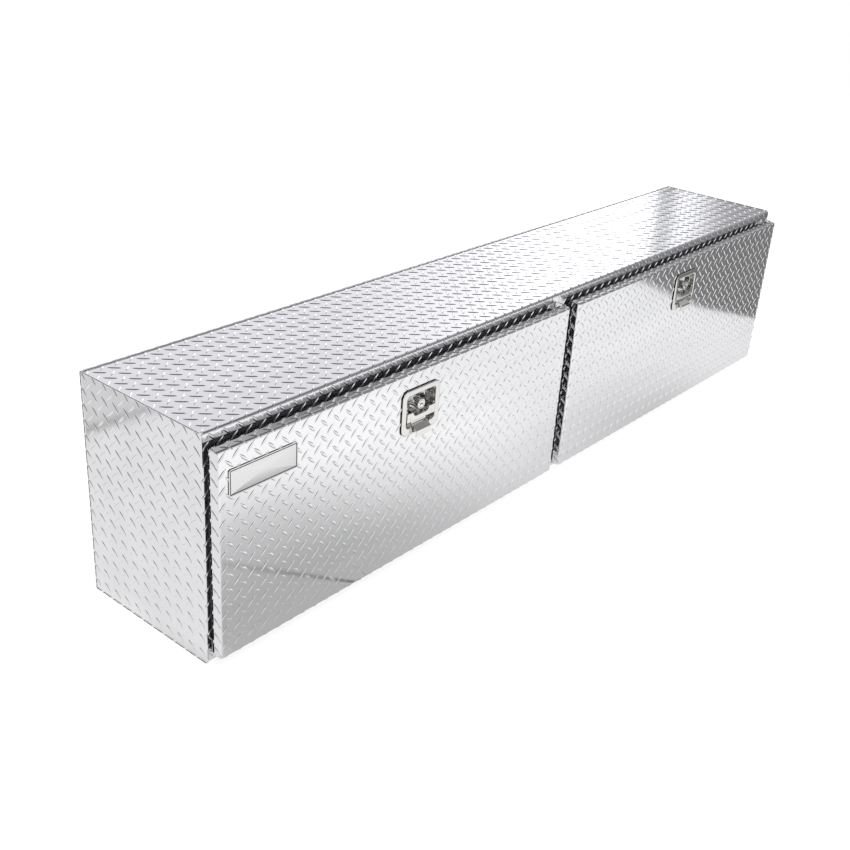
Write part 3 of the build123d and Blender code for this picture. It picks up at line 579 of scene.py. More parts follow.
@dataclass
class TreadSheet:
    """A folded sheet of tread plate: a smooth base with crossed rows of raised lugs on its outside.

    The flat pattern has coordinates u and w from its middle; it is wrapped round its folds and placed by
    three axes. Lugs stand on a square lattice, one family at +45 degrees and one, between them, at -45.
    """

    name: str
    body: str
    nodes: tuple[str, ...]
    middle: Array
    u_axis: Array
    w_axis: Array
    normal: Array
    u_folds: tuple[Fold, Fold]
    w_folds: tuple[Fold, Fold]
    cuts: list[tuple[float, float, float, float]] = field(default_factory=list)
    gauge: float = 1.4 * MM
    lug_height: float = 1.0 * MM
    lug_length: float = 22.5 * MM
    lug_width: float = 5.4 * MM
    pitch: float = 27.5 * MM
    guard: float = 0.6 * MM
    phase: tuple[float, float] = (0.0, 0.0)
    beads: list[tuple[Array, Array]] = field(default_factory=list)

    def point(self, u: Array, w: Array, height: Array | float) -> Array:
        """Place of points at a height above the base: both coordinates wrapped, then carried by the axes."""
        across, depth_u, lean_u = wrap(u, self.u_folds)
        up, depth_w, lean_w = wrap(w, self.w_folds)
        local = np.stack(
            [
                across + height * np.sin(lean_u),
                up + height * np.sin(lean_w),
                height * np.cos(lean_u) * np.cos(lean_w) - depth_u - depth_w,
            ],
            -1,
        )
        return self.middle + local @ np.stack([self.u_axis, self.w_axis, self.normal])

    def lines(self, folds: tuple[Fold, Fold], cut_at: Sequence[float]) -> Array:
        """Grid lines across one direction: the ends, the cuts, and six spans through each bend.

        A further line just before each bend and one just after it keep the flats' shading flat.
        """
        marks = [-folds[0].reach, folds[1].reach, *cut_at]
        for sign, fold in zip((-1, 1), folds):
            if fold.radius:
                bend = fold.radius * math.pi / 2
                marks += list(sign * (fold.flat + np.linspace(0, 1, 7) * bend))
                marks += [sign * (fold.flat - self.guard), sign * (fold.flat + bend + self.guard)]
        return np.unique(np.round(np.clip(marks, -folds[0].reach, folds[1].reach), 7))

    def kept(self, u: Array, w: Array) -> Array:
        """Whether flat points lie outside every cut."""
        keep = np.ones(np.broadcast(u, w).shape, bool)
        for low_u, high_u, low_w, high_w in self.cuts:
            keep &= ~((u > low_u) & (u < high_u) & (w > low_w) & (w < high_w))
        return keep

    def base(self) -> tuple[Array, Array]:
        """The sheet without its lugs: two wrapped grids a gauge apart."""
        u = self.lines(self.u_folds, [c for cut in self.cuts for c in cut[:2]])
        w = self.lines(self.w_folds, [c for cut in self.cuts for c in cut[2:]])
        grid_u, grid_w = np.meshgrid(u, w)
        outer = self.point(grid_u, grid_w, 0.0)
        inner = self.point(grid_u, grid_w, -self.gauge)
        mid_u, mid_w = np.meshgrid((u[1:] + u[:-1]) / 2, (w[1:] + w[:-1]) / 2)
        return shell(outer, inner, self.kept(mid_u, mid_w))

    def lug_centres(self) -> tuple[Array, Array, Array]:
        """Middles of the lugs in the flat pattern and their turns: two lattices half a pitch apart."""
        found = []
        for shift, turn in ((0.0, math.pi / 4), (0.5, -math.pi / 4)):
            spans = []
            for folds, phase in ((self.u_folds, self.phase[0]), (self.w_folds, self.phase[1])):
                low = math.ceil((-folds[0].reach - phase) / self.pitch - shift) - 1
                high = math.floor((folds[1].reach - phase) / self.pitch - shift) + 1
                spans.append((np.arange(low, high + 1) + shift) * self.pitch + phase)
            u, w = (grid.ravel() for grid in np.meshgrid(*spans))
            found.append((u, w, np.full(len(u), turn)))
        u, w, turn = (np.concatenate(parts) for parts in zip(*found))
        keep = self.kept(u, w) & self.on_one_face(u, w)
        return u[keep], w[keep], turn[keep]

    def on_one_face(self, u: Array, w: Array) -> Array:
        """Whether lugs keep clear of the corners where both directions are folded."""
        margin = 0.4 * self.lug_length
        past_u = (u < -self.u_folds[0].flat - margin) | (u > self.u_folds[1].flat + margin)
        past_w = (w < -self.w_folds[0].flat - margin) | (w > self.w_folds[1].flat + margin)
        folded_u = self.u_folds[0].radius > 0 or self.u_folds[1].radius > 0
        folded_w = self.w_folds[0].radius > 0 or self.w_folds[1].radius > 0
        return ~(past_u & past_w) if folded_u and folded_w else np.ones(u.shape, bool)

    def lugs(self) -> tuple[Array, Array]:
        """All the lugs: each is a lens whose width falls as 1 - a^2 from its middle, with a rounded top.

        a runs from -1 to 1 along a lug and b across it. Half the width is the lug's half width times
        0.14 + 0.86 (1 - a^2), and the height is full between shoulders and falls to the sheet outside them.
        Lugs that cross the sheet's edge end at it.
        """
        along = np.array([-1.0, -0.86, -0.6, -0.3, 0.0, 0.3, 0.6, 0.86, 1.0])
        across = np.array([-1.0, -0.5, 0.0, 0.5, 1.0])
        rise_along = np.array([0.0, 0.62, 0.92, 1.0, 1.0, 1.0, 0.92, 0.62, 0.0])
        rise_across = np.array([0.0, 0.86, 1.0, 0.86, 0.0])
        a = np.repeat(along, len(across))
        width = self.lug_width / 2 * (0.14 + 0.86 * (1 - a**2))
        b = np.tile(across, len(along)) * width
        height = self.lug_height * (np.outer(rise_along, rise_across).ravel() * 1.03 - 0.03)
        u0, w0, turn = self.lug_centres()
        cos, sin = np.cos(turn)[:, None], np.sin(turn)[:, None]
        u = u0[:, None] + cos * a * self.lug_length / 2 - sin * b
        w = w0[:, None] + sin * a * self.lug_length / 2 + cos * b
        u = np.clip(u, -self.u_folds[0].reach, self.u_folds[1].reach)
        w = np.clip(w, -self.w_folds[0].reach, self.w_folds[1].reach)
        points = self.point(u, w, np.broadcast_to(height, u.shape)).reshape(-1, 3)
        cell = grid_quads(len(along), len(across)).reshape(-1, 4)
        starts = np.arange(len(u0)) * len(a)
        quads = (cell[None] + starts[:, None, None]).reshape(-1, 4)
        middle = len(cell) // 2
        quads = face_on(points, np.roll(quads, -middle, axis=0), self.outward_at(u0[0], w0[0]))
        return points, clean(points, quads)

    def outward_at(self, u: float, w: float) -> Array:
        """Outward direction at a flat point: from the base to a point above it."""
        at = np.array([u]), np.array([w])
        return (self.point(*at, 1.0) - self.point(*at, 0.0))[0]

    def build(self) -> None:
        """Make the sheet with its lugs and welds, dress it and tie it to the frame."""
        made = put_mesh(self.name, *join(self.base(), self.lugs(), *self.beads))
        dress(made, TREAD, self.body, Slot.TREAD, *self.nodes)
        LOG.info("%s: %d faces", self.name, len(made.data.polygons))


X, Y, Z = np.eye(3)


@dataclass
class Cabinet:
    """The welded body: top, bottom, back, two ends and the post between the doors."""

    bend: float = 5.5 * MM
    lug: float = 1.0 * MM
    jamb: float = 30.0 * MM
    rear_flange: float = 25.0 * MM
    bead: float = 1.6 * MM
    jamb_relief: float = 2.0 * MM

    def sheet(
        self, name: str, middle: Sequence[float], axes: tuple[Array, Array, Array], *folds: Any, **more: Any
    ) -> None:
        """Build a tread sheet of the body that stands for the CAD node of its name.

        Args:
            name: of the node.
            middle: of the sheet's base.
            axes: its u, its w and its outward direction.
            folds: the pair across u, then the pair across w.
            more: cuts, phase and beads.
        """
        TreadSheet(f"tread_{name}", "root", (name,), np.array(middle), *axes, *folds, **more).build()

    def build(self) -> None:
        """Make every sheet of the body from the corners of its CAD node."""
        inner = self.bend - self.lug
        low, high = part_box("top_panel")
        header, sill = low[2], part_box("bottom_panel")[1][2]
        depth = (high[1] - low[1]) / 2
        middle_y = (low[1] + high[1]) / 2
        ends = (Fold(high[0]), Fold(high[0]))
        rear = Fold(depth - self.bend, inner, self.rear_flange - self.bend)
        for name, z, normal, front, phase in (
            ("top_panel", high[2] - self.lug, Z, high[2] - header, (0.0, 0.0)),
            ("bottom_panel", self.lug, -Z, sill, (6 * MM, 9 * MM)),
        ):
            folds = (Fold(depth - self.bend, inner, front - self.bend), rear)
            self.sheet(name, (0, middle_y, z), (X, Y, normal), ends, folds, phase=phase)
        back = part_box("back_panel")[1]
        whole = Fold(back[2] / 2)
        place = (0, back[1] - self.lug, back[2] / 2)
        self.sheet("back_panel", place, (X, Z, Y), ends, (whole, whole), phase=(4 * MM, 0))
        low_post, high_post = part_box("centre_post")
        side = Fold(high_post[0] - self.bend, inner, high_post[1] - low_post[1] - self.bend)
        upright = Fold((header - sill) / 2)
        place = (0, low_post[1] + self.lug, (header + sill) / 2)
        self.sheet("centre_post", place, (X, Z, -Y), (side, side), (upright, upright))
        for hand, sign in ((Hand.LEFT, -1), (Hand.RIGHT, 1)):
            low_end, high_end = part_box(hand.node("end_panel"))
            face_x = low_end[0] if sign < 0 else high_end[0]
            half_y = (high_end[1] - low_end[1]) / 2
            half_z = high_end[2] / 2
            reach = half_y - self.bend + inner * math.pi / 2
            jamb = Fold(half_y - self.bend, inner, self.jamb - self.bend)
            # the jamb's flange runs between the sill and the header only
            beside_sill = (-1.0, -reach + self.jamb_relief, -1.0, sill - half_z)
            beside_header = (-1.0, -reach + self.jamb_relief, header - half_z, 1.0)
            self.sheet(
                hand.node("end_panel"),
                (face_x - sign * self.lug, (low_end[1] + high_end[1]) / 2, half_z),
                (Y, Z, sign * X),
                (jamb, Fold(half_y)),
                (Fold(half_z), Fold(half_z)),
                cuts=[beside_sill, beside_header],
                phase=(3 * MM, 5 * MM),
                beads=self.end_welds(sign, low_end, high_end),
            )

    def end_welds(self, sign: int, low: Array, high: Array) -> list[tuple[Array, Array]]:
        """Beads that join an end to the top, to the bottom and to the back, just inside its corners."""
        inset = self.bead + 0.1 * MM
        x = high[0] - inset if sign > 0 else low[0] + inset
        front, rear = low[1] + self.bend, high[1] - inset
        floor, roof = low[2] + inset, high[2] - inset
        lines = (
            ((front, roof), (rear, roof)),
            ((front, floor), (rear, floor)),
            ((rear, floor), (rear, roof)),
        )
        return [weld_bead(np.array([x, *a]), np.array([x, *b]), self.bead) for a, b in lines]


@dataclass
class DoorPan(TreadSheet):
    """A door: a pan of tread plate with flanges all round and an opening for its latch."""

    hole: tuple[float, float, float] = (0.0, 0.0, 0.0)
    corner: float = 2.3 * MM
    hole_corner: float = 3.0 * MM

    def loop(self, inset: float, turn: float, depth: float) -> Array:
        """One closed line of the pan, at an inset from its outside and a turn round its bends."""
        fold_u, fold_w = self.u_folds[1], self.w_folds[1]
        out = fold_u.radius * math.sin(turn) - inset
        half = (fold_u.flat + out, fold_w.flat + out)
        flat = rounded_loop(half, max(self.corner * math.sin(turn) - inset, 0.2 * MM))
        return self.flat_place(flat, depth)

    def flat_place(self, flat: Array, depth: float) -> Array:
        """Points of the pan's face carried to their place, at a depth behind it."""
        height = np.full(len(flat), -depth)
        return self.middle + np.column_stack([flat, height]) @ np.stack(
            [self.u_axis, self.w_axis, self.normal]
        )

    def base(self) -> tuple[Array, Array]:
        """The pan without its lugs: loops from the hole over face, bend and flange, and back inside."""
        half_u, half_w, hole_w = self.hole
        opening = rounded_loop((half_u, half_w), self.hole_corner, (0, hole_w))
        fold, gauge = self.u_folds[1], self.gauge
        deep = fold.radius + fold.flange
        turns = np.linspace(0, math.pi / 2, 7)
        outside = [self.loop(0, t, fold.radius * (1 - math.cos(t))) for t in turns]
        inside = [
            self.loop(gauge * math.sin(t), t, gauge + (fold.radius - gauge) * (1 - math.cos(t)))
            for t in turns
        ]
        last, guard = math.pi / 2, self.guard
        loops = [self.flat_place(opening, 0), self.loop(guard, 0, 0), *outside]
        loops += [self.loop(0, last, fold.radius + guard), self.loop(0, last, deep)]
        loops += [self.loop(gauge, last, deep), self.loop(gauge, last, fold.radius + guard), *inside[::-1]]
        loops += [self.loop(guard, 0, gauge), self.flat_place(opening, gauge)]
        return closed_surface(np.array(loops), tube=True)


@dataclass
class Latch:
    """One flush latch: its dish with a domed border, its paddle, its lock's barrel and plug, and its spring.

    Places are given across (u), up (w) and inwards (v) from the middle of the bezel on the door's face.
    The paddle's own sizes and the profiles of points are in millimetres.
    """

    hand: Hand
    centre: Array
    bezel: tuple[float, float] = (48.5 * MM, 42.5 * MM)
    bezel_corner: float = 13 * MM
    opening: tuple[float, float] = (37.5 * MM, 30 * MM)
    opening_corner: float = 7 * MM
    opening_rise: float = 1.5 * MM
    front: float = -2.5 * MM
    back: float = -1.0 * MM
    floor: float = 22.5 * MM
    sheet: float = 1.5 * MM
    draft: float = math.tan(math.radians(4))
    scoop_half: float = 23 * MM
    scoop_round: float = 4 * MM
    scoop_drop: float = 7.5 * MM
    scoop_floor: float = 9.5 * MM
    pin: tuple[float, float] = (-10 * MM, 8 * MM)
    lock_up: float = 8.7 * MM
    wire: float = 0.5 * MM
    spring_turns: float = 4.5
    spring_spans: int = 96
    bolt_travel: float = 12 * MM
    bar_half: float = 36.0
    notch_half: float = 12.5
    notch_radius: float = 8.0
    notch_end: float = 14.5
    bar_end: float = 16.0
    tongue_half: float = 19.0
    tab_round: float = 3.0

    def place(self, u: Any, w: Any, v: Any) -> Array:
        """Carry latch coordinates to the frame: across is +X, up is +Z and inwards is +Y."""
        u, w, v = np.broadcast_arrays(u, w, v)
        return self.centre + np.stack([u, v, w], -1)

    def rim(self, outset: float, depth: float, scoop: bool) -> Array:
        """A line round the dish's opening, let down round the finger scoop where asked."""
        half = (self.opening[0] + outset, self.opening[1] + outset)
        reach = half[0] - self.opening_corner - outset
        marks = self.scoop_half - self.scoop_round * np.array([0, 0.04, 0.15, 0.35, 0.65, 1])
        just_out = self.scoop_half + 0.01 * MM
        marks = np.concatenate([-marks, [-just_out, 0, just_out], marks])
        side = np.sort((marks + reach) / (2 * reach))
        flat = rounded_loop(half, self.opening_corner + outset, (0, self.opening_rise), side=side)
        if scoop:
            bottom = self.opening_rise - half[1]
            near = np.abs(flat[:, 0]) - (self.scoop_half - self.scoop_round)
            bulge = np.sqrt(np.clip(1 - (np.clip(near, 0, None) / self.scoop_round) ** 2, 0, None))
            flat[:, 1] -= np.where(flat[:, 1] < bottom + 0.001 * MM, self.scoop_drop * bulge, 0)
        return self.place(flat[:, 0], flat[:, 1], depth)

    def edge(self, inset: float, depth: float) -> Array:
        """A line round the bezel's outside."""
        half = (self.bezel[0] - inset, self.bezel[1] - inset)
        side = np.linspace(0, 1, 17)[1:-1]
        flat = rounded_loop(half, self.bezel_corner - inset, side=side)
        return self.place(flat[:, 0], flat[:, 1], depth)

    def dish(self) -> None:
        """Dish: its border is domed, its lip is rolled, and its walls lean in by the draft angle."""
        lean = self.draft
        slot = rounded_loop((5 * MM, 7.5 * MM), 1 * MM, (0, -14.5 * MM), side=np.linspace(0, 1, 17)[1:-1])
        border = [(0, -1.0), (0, -1.3), (0.45, -1.95), (1.3, -2.35), (2.8, -2.5)]
        loops = [self.edge(inset * MM, depth * MM) for inset, depth in border]
        lip = [(3.0, -2.5), (1.6, -2.42), (0.7, -2.05), (0.2, -1.5), (0.0, -0.7)]
        loops += [self.rim(out * MM, depth * MM, True) for out, depth in lip]
        shelf = -lean * self.scoop_floor
        loops += [self.rim(shelf, self.scoop_floor - 1 * MM, True)]
        loops += [self.rim(shelf - 0.5 * MM, self.scoop_floor, True)]
        loops += [self.rim(shelf, self.scoop_floor, False)]
        bottom = [(-1.3, -2.5), (-1.7, -1.0), (-2.5, -0.25), (-4.0, 0.0)]
        loops += [self.rim(out * MM, self.floor + depth * MM, False) for out, depth in bottom]
        loops += [self.place(slot[:, 0], slot[:, 1], self.floor + step) for step in (0, self.sheet)]
        behind = [(-2.5, 1.5), (-0.5, 0.6), (0.1, -1.5)]
        loops += [self.rim(out * MM, self.floor + depth * MM, False) for out, depth in behind]
        under = self.scoop_floor + self.sheet
        loops += [self.rim(0.8 * MM, under, False), self.rim(0.8 * MM, under, True)]
        loops += [self.rim(1.5 * MM, 0.5 * MM, True), self.rim(2.0 * MM, self.back, True)]
        made = [closed_surface(np.array(loops), tube=True)]
        for side in (-1, 1):
            for up in (-1, 1):
                stud = [(0, -1.0), (2, -1.0), (2, 6.2), (1.6, 6.6), (0, 6.6)]
                made.append(turned(self.place(side * 43.8 * MM, up * 32 * MM, 0), Y, stud, 12))
        dish = put_mesh(f"{self.hand.value}_dish", *join(*made), 30)
        dress(dish, BUFFED, self.hand.node("door"), Slot.POLISHED, self.hand.node("latch_dish"))

    def paddle(self) -> None:
        """Paddle: a notched bar whose tongue curls out over the border, with its ears, hub and arm.

        The sheet is a grid: one way along the bent path from the bar's top to the tab's end, and the other
        way across, where the half width steps from the bar's to the tongue's.
        """
        corners = [(-2.5, -2.0), (-2.5, -18.5), (3.0, -20.5), (3.0, -26.0), (-10.5, -34.5), (-10.5, -47.0)]
        path = bent_path(corners, 1.7, 6)
        along = np.concatenate([[0], np.cumsum(np.linalg.norm(np.diff(path, axis=0), axis=1))])
        end = along[-1]
        finer = np.array([self.notch_half, 15, 17.5, 19.3, 20.4]) / self.bar_half
        spread = np.concatenate([np.linspace(0, 1, 11), finer])
        spread = np.unique(np.concatenate([spread, -spread]))
        past = np.clip(np.abs(spread) * self.bar_half - self.notch_half, 0, self.notch_radius)
        notch = np.sqrt(self.notch_radius**2 - past**2)
        bar = notch + (self.notch_end - notch) * np.linspace(0, 1, 6)[:, None]
        steps = [15, 15.5, 15.8, 16, 16.001, 16.5, 17, 18, 19, *np.linspace(20, end - 3, 40)]
        steps += [end - 2, end - 1.2, end - 0.5, end - 0.15, end]
        run = np.concatenate([bar, np.tile(np.array(steps)[:, None], len(spread))])
        v, w = (np.interp(run, along, path[:, k]) * MM for k in (0, 1))
        tangent = np.gradient(path, along, axis=0)
        lean_v, lean_w = (np.interp(run, along, tangent[:, k]) for k in (0, 1))
        thick = self.sheet / np.hypot(lean_v, lean_w)
        u = spread * self.width_at(run, end) * MM
        outer, inner = self.place(u, w, v), self.place(u, w + thick * lean_v, v - thick * lean_w)
        sheet = shell(outer, inner, np.ones((len(run) - 1, len(spread) - 1), bool))
        made = [sheet]
        up, deep = self.pin
        hub = deep / MM, up / MM
        stem = [(-1.5, hub[1] + 3.4), (-1.5, hub[1] - 3.4), *arc(hub, 4.2, -100, 100)]
        for side in (-1, 1):
            made.append(self.block(stem, side * 33.8, 0.8))
        arm = [(hub[0], hub[1] + 2), (hub[0], hub[1] - 2), *arc((32.0, hub[1]), 2.5, -120, 120)]
        web = [(-1.5, -12.7), (-1.5, -17.2), (6.0, -14.0), (8.0, -12.0), (6.0, -11.0)]
        made += [self.block(arc(hub, 4.2, 0, 345, 24), 0, 4.0)]
        made += [self.block(arm, 0, 4.0), self.block(web, 0, 3.9)]
        for side in (-1, 1):
            dot = [(0, -2.9), (1.1, -2.85), (1.8, -2.7), (2.2, -2.45), (2.2, -2.3), (0, -2.3)]
            made.append(turned(self.place(side * 27.5 * MM, -12.5 * MM, 0), Y, dot, 16))
        paddle = put_mesh(f"{self.hand.value}_pull", *join(*made), 30)
        bevel = paddle.modifiers.new("eased edges", "BEVEL")
        bevel.width = 0.3 * MM
        bevel.segments = 2
        bevel.limit_method = "ANGLE"
        bevel.angle_limit = math.radians(50)
        dress(paddle, BUFFED, self.hand.node("handle"), Slot.POLISHED, self.hand.node("paddle"))

    def width_at(self, run: Array, end: float) -> Array:
        """Half width of the paddle's sheet along its path: of the bar, the tongue and its round end."""
        ease, tab = self.bar_end - self.notch_end, self.tab_round
        bar = self.bar_half - np.clip(run - self.notch_end, 0, ease) ** 2 / ease
        tongue = self.tongue_half + tab * np.clip(1 - (run - self.bar_end) / tab, 0, 1) ** 2
        rounding = tab * (1 - np.sqrt(np.clip(1 - (np.clip(run - end + tab, 0, tab) / tab) ** 2, 0, 1)))
        return np.where(run <= self.bar_end, bar, tongue - rounding)

    def block(self, outline: Any, across: float, half: float) -> tuple[Array, Array]:
        """A plate across the latch: an outline in inward and up millimetres, carried to both its sides."""
        flat = np.asarray(outline) * MM
        middle = flat.mean(axis=0)
        loops = []
        for side, shape in ((-1, middle + 0 * flat), (-1, flat), (1, flat), (1, middle + 0 * flat)):
            loops.append(self.place((across + side * half) * MM, shape[:, 1], shape[:, 0]))
        return closed_surface(np.array(loops))

    def lock(self) -> None:
        """Lock: a barrel with a rolled rim, and a plug with a shaped key slot."""
        middle = self.place(0, self.lock_up, 0)
        barrel = [(6.55, 29.5), (8, 29.5), (8, 22.5), (9.5, 22.5), (9.5, -1.0), (9.35, -1.6), (8.9, -2.05)]
        barrel += [(8.3, -2.2), (7.5, -2.15), (7.1, -1.9), (6.7, -1.5), (6.55, -1.0)]
        housing = put_mesh(f"{self.hand.value}_barrel", *turned(middle, Y, barrel, 48, tube=True), 40)
        dress(housing, CHROMED, self.hand.node("door"), Slot.CHROME, self.hand.node("lock_housing"))
        side = np.linspace(0, 1, 9)[1:-1]
        slot = rounded_loop((4 * MM, 0.9 * MM), 0.6 * MM, side=side)
        warded = slot + np.column_stack([0 * slot[:, 0], 0.5 * MM * (np.abs(slot[:, 0]) < 1.2 * MM)])
        loops = [(0 * slot, 8.0), (slot, 8.0), (warded, -1.75), (warded * [1.06, 1.3], -1.95)]
        for radius, depth in ((5.4, -2.05), (6.1, -1.95), (6.5, -1.5), (6.5, 29.5), (3.5, 29.5), (3.5, 45.5)):
            turn = rounded_loop((radius * MM, radius * MM), radius * MM, side=side)
            angle = np.linspace(0, 2 * math.pi, len(turn), endpoint=False) + math.pi / 16
            loops.append((radius * MM * np.stack([np.cos(angle), np.sin(angle)], -1), depth))
        loops.append((0 * slot, 45.5))
        surface = [self.place(flat[:, 0], self.lock_up + flat[:, 1], depth * MM) for flat, depth in loops]
        plug = closed_surface(np.array(surface))
        turned_plug = put_mesh(f"{self.hand.value}_plug", *plug, 40)
        dress(turned_plug, CHROMED, self.hand.node("lock"), Slot.CHROME, self.hand.node("lock_plug"))

    def spring(self) -> None:
        """Bolt spring: a wire round a helix.

        The helix turns evenly as it climbs; each of its points carries a circle across its direction.
        """
        node = self.hand.node("bolt_spring")
        low, high = (np.array(c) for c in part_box(node))
        middle, rise = (low + high) / 2, high[2] - low[2] - 2 * self.wire
        angle = np.linspace(0, 2 * math.pi * self.spring_turns, self.spring_spans + 1)[:, None]
        out = np.cos(angle) * X + np.sin(angle) * Y
        radius = (high[0] - low[0]) / 2 - self.wire
        slope = rise / angle[-1, 0]
        path = middle * [1, 1, 0] + radius * out + (low[2] + self.wire + slope * angle) * Z
        forward = radius * (np.cos(angle) * Y - np.sin(angle) * X) + slope * Z
        across = np.cross(forward / np.linalg.norm(forward, axis=1)[:, None], out)
        turn = np.linspace(0, 2 * math.pi, 10, endpoint=False)[:, None]
        circles = path[:, None] + self.wire * (np.cos(turn) * out[:, None] + np.sin(turn) * across[:, None])
        first, last = (np.broadcast_to(path[k], (1, len(turn), 3)) for k in (0, -1))
        coil = put_mesh(f"{self.hand.value}_coil", *closed_surface(np.concatenate([first, circles, last])))
        dress(coil, SPRING, self.hand.node("door"), Slot.SPRING, node)
        keep = 1 - self.bolt_travel / (high[2] - low[2])
        self.hand.node("bolt_slide")
        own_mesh(coil)

    def build(self) -> None:
        """Make the dish, the paddle, the lock and the bolt's spring."""
        self.dish()
        self.paddle()
        self.lock()
        self.spring()
        LOG.info("%s latch", self.hand.value)


@dataclass
class Door:
    """One door: its pan, latch, seal on the frame, and the rivets of its hinge."""

    hand: Hand
    bend: float = 5.5 * MM
    lug: float = 1.0 * MM
    rivet_pitch: float = 100 * MM
    rivet_count: int = 9
    hole_half: tuple[float, float] = (39.5 * MM, 36.5 * MM)
    hole_drop: float = 2.0 * MM
    hole_border: float = 2.0 * MM
    seal_foot: float = 4.5 * MM
    seal_corner: float = 9.0 * MM

    def build(self) -> None:
        """Make the door's pieces from the corners of their CAD nodes."""
        low, high = (np.array(c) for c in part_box(self.hand.node("door_skin")))
        middle = (low + high) / 2
        half = (high - low) / 2 - self.lug
        inner = self.bend - self.lug
        flange = high[1] - low[1] - self.bend
        dish_low, dish_high = (np.array(c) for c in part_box(self.hand.node("latch_dish")))
        latch = (dish_low + dish_high) / 2
        latch[1] = low[1]
        folds = [(Fold(size - inner, inner, flange),) * 2 for size in (half[0], half[2])]
        hole_w = latch[2] - middle[2] - self.hole_drop
        across, up = self.hole_half
        clear_u, clear_w = across + self.hole_border, up + self.hole_border
        DoorPan(
            name=f"tread_{self.hand.value}_door",
            body=self.hand.node("door"),
            nodes=(self.hand.node("door_skin"),),
            middle=np.array([middle[0], low[1] + self.lug, middle[2]]),
            u_axis=X,
            w_axis=Z,
            normal=-Y,
            u_folds=folds[0],
            w_folds=folds[1],
            cuts=[(-clear_u, clear_u, hole_w - clear_w, hole_w + clear_w)],
            phase=(2 * MM, 7 * MM),
            hole=(across, up, hole_w),
        ).build()
        Latch(self.hand, latch).build()
        self.seal()
        self.rivets("hinge_sill_rivets", "root", Y)
        self.rivets("hinge_door_rivets", self.hand.node("door"), Z)

    def seal(self) -> None:
        """Seal: a clip-on foot with a hollow-looking bulb, run round the doorway."""
        low, high = (np.array(c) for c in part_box(self.hand.node("door_seal")))
        middle = (low + high) / 2
        half = np.array([high[0] - low[0], high[2] - low[2]]) / 2 - self.seal_foot
        right = [(0, 8.7), (1.6, 8.4), (2.9, 7.4), (3.7, 5.8), (3.7, 4.4), (3.0, 3.0), (3.4, 2.2), (4.5, 1.6)]
        right += [(4.5, 0.0)]
        profile = right + [(-out, height) for out, height in right[::-1][:-1]]
        loops = []
        for out, height in np.array(profile) * MM:
            flat = rounded_loop(half + out, self.seal_corner + out)
            depth = np.full(len(flat), high[1] - height)
            loops.append(np.column_stack([middle[0] + flat[:, 0], depth, middle[2] + flat[:, 1]]))
        seal = put_mesh(f"{self.hand.value}_bulb_seal", *closed_surface(np.array(loops), tube=True), 40)
        dress(seal, BLACK_RUBBER, "root", Slot.RUBBER, self.hand.node("door_seal"))

    def rivets(self, node: str, body: str, axis: Array) -> None:
        """A row of domed rivets along the hinge, their heads towards the low side of the given axis."""
        low, high = (np.array(c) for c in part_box(self.hand.node(node)))
        middle = (low + high) / 2
        middle = middle - axis * (middle @ axis) + axis * (low @ axis)
        profile = [(0, 0), (1.1, 0.06), (2.2, 0.28), (2.9, 0.6), (3.2, 0.9), (1.6, 0.9)]
        reach = float((high - low) @ axis) / MM
        profile += [(1.6, reach - 1.5), (2.5, reach - 1.5), (2.3, reach - 0.5), (1.6, reach), (0, reach)]
        steps = (np.arange(self.rivet_count) - (self.rivet_count - 1) / 2) * self.rivet_pitch
        made = [turned(middle + X * step, axis, profile, 20) for step in steps]
        row = put_mesh(f"{self.hand.value}_{node}_domed", *join(*made), 40)
        dress(row, RIVETED, body, Slot.RIVET, self.hand.node(node))


@dataclass(frozen=True)
class PlateFinish(Finish):
    """Satin plate with a blackened line inside its raised edge."""

    middle: tuple[float, float] = (0.0, 0.0)
    half: tuple[float, float] = (0.0, 0.0)

    def pattern(self, shader: Shader) -> dict[str, Any]:
        """Brushing over all, and the black line by distance from the plate's edge."""
        x, _, z = shader.parts(shader.place())
        edge = (abs(x - self.middle[0]) - self.half[0]).at_least(abs(z - self.middle[1]) - self.half[1])
        line = edge.within(-3.6 * MM, -1.9 * MM, 0.2 * MM)
        lines = shader.noise((20, 1500, 1500), 2.0)
        return {
            "Base Color": shader.tint(line, self.colour, (0.02, 0.02, 0.022)),
            "Roughness": self.roughness + 0.15 * (lines - 0.5) + 0.25 * line,
            "Metallic": 1 - 0.9 * line,
            "Normal": shader.bump(lines, 0.008 * MM),
        }


def build_nameplate() -> None:
    """A plain plate with a raised edge and a sunk field, without any mark."""
    low, high = (np.array(c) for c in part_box("nameplate"))
    middle, size = (low + high) / 2, (high - low) / 2
    steps = [(0, 0), (0, 0.5), (0.15, 0.7), (0.5, 0.8), (1.7, 0.8), (2.1, 0.45), (3.6, 0.45), (4.0, 0.6)]
    lines = []
    for inset, height in np.array(steps) * MM:
        flat = rounded_loop((size[0] - inset, size[2] - inset), 4 * MM - 0.9 * inset)
        depth = np.full(len(flat), high[1] - height)
        lines.append(np.column_stack([middle[0] + flat[:, 0], depth, middle[2] + flat[:, 1]]))
    back, field = (np.broadcast_to(line.mean(axis=0), line.shape) for line in (lines[0], lines[-1]))
    loops = np.array([back, *lines, field])
    plate = put_mesh("plain_nameplate", *closed_surface(loops), 30)
    finish = PlateFinish(
        "satin_plate", (0.82, 0.82, 0.82), 0.28, 1.0, (middle[0], middle[2]), (size[0], size[2])
    )
    dress(plate, finish, Hand.LEFT.node("door"), Slot.PLATE, "nameplate")


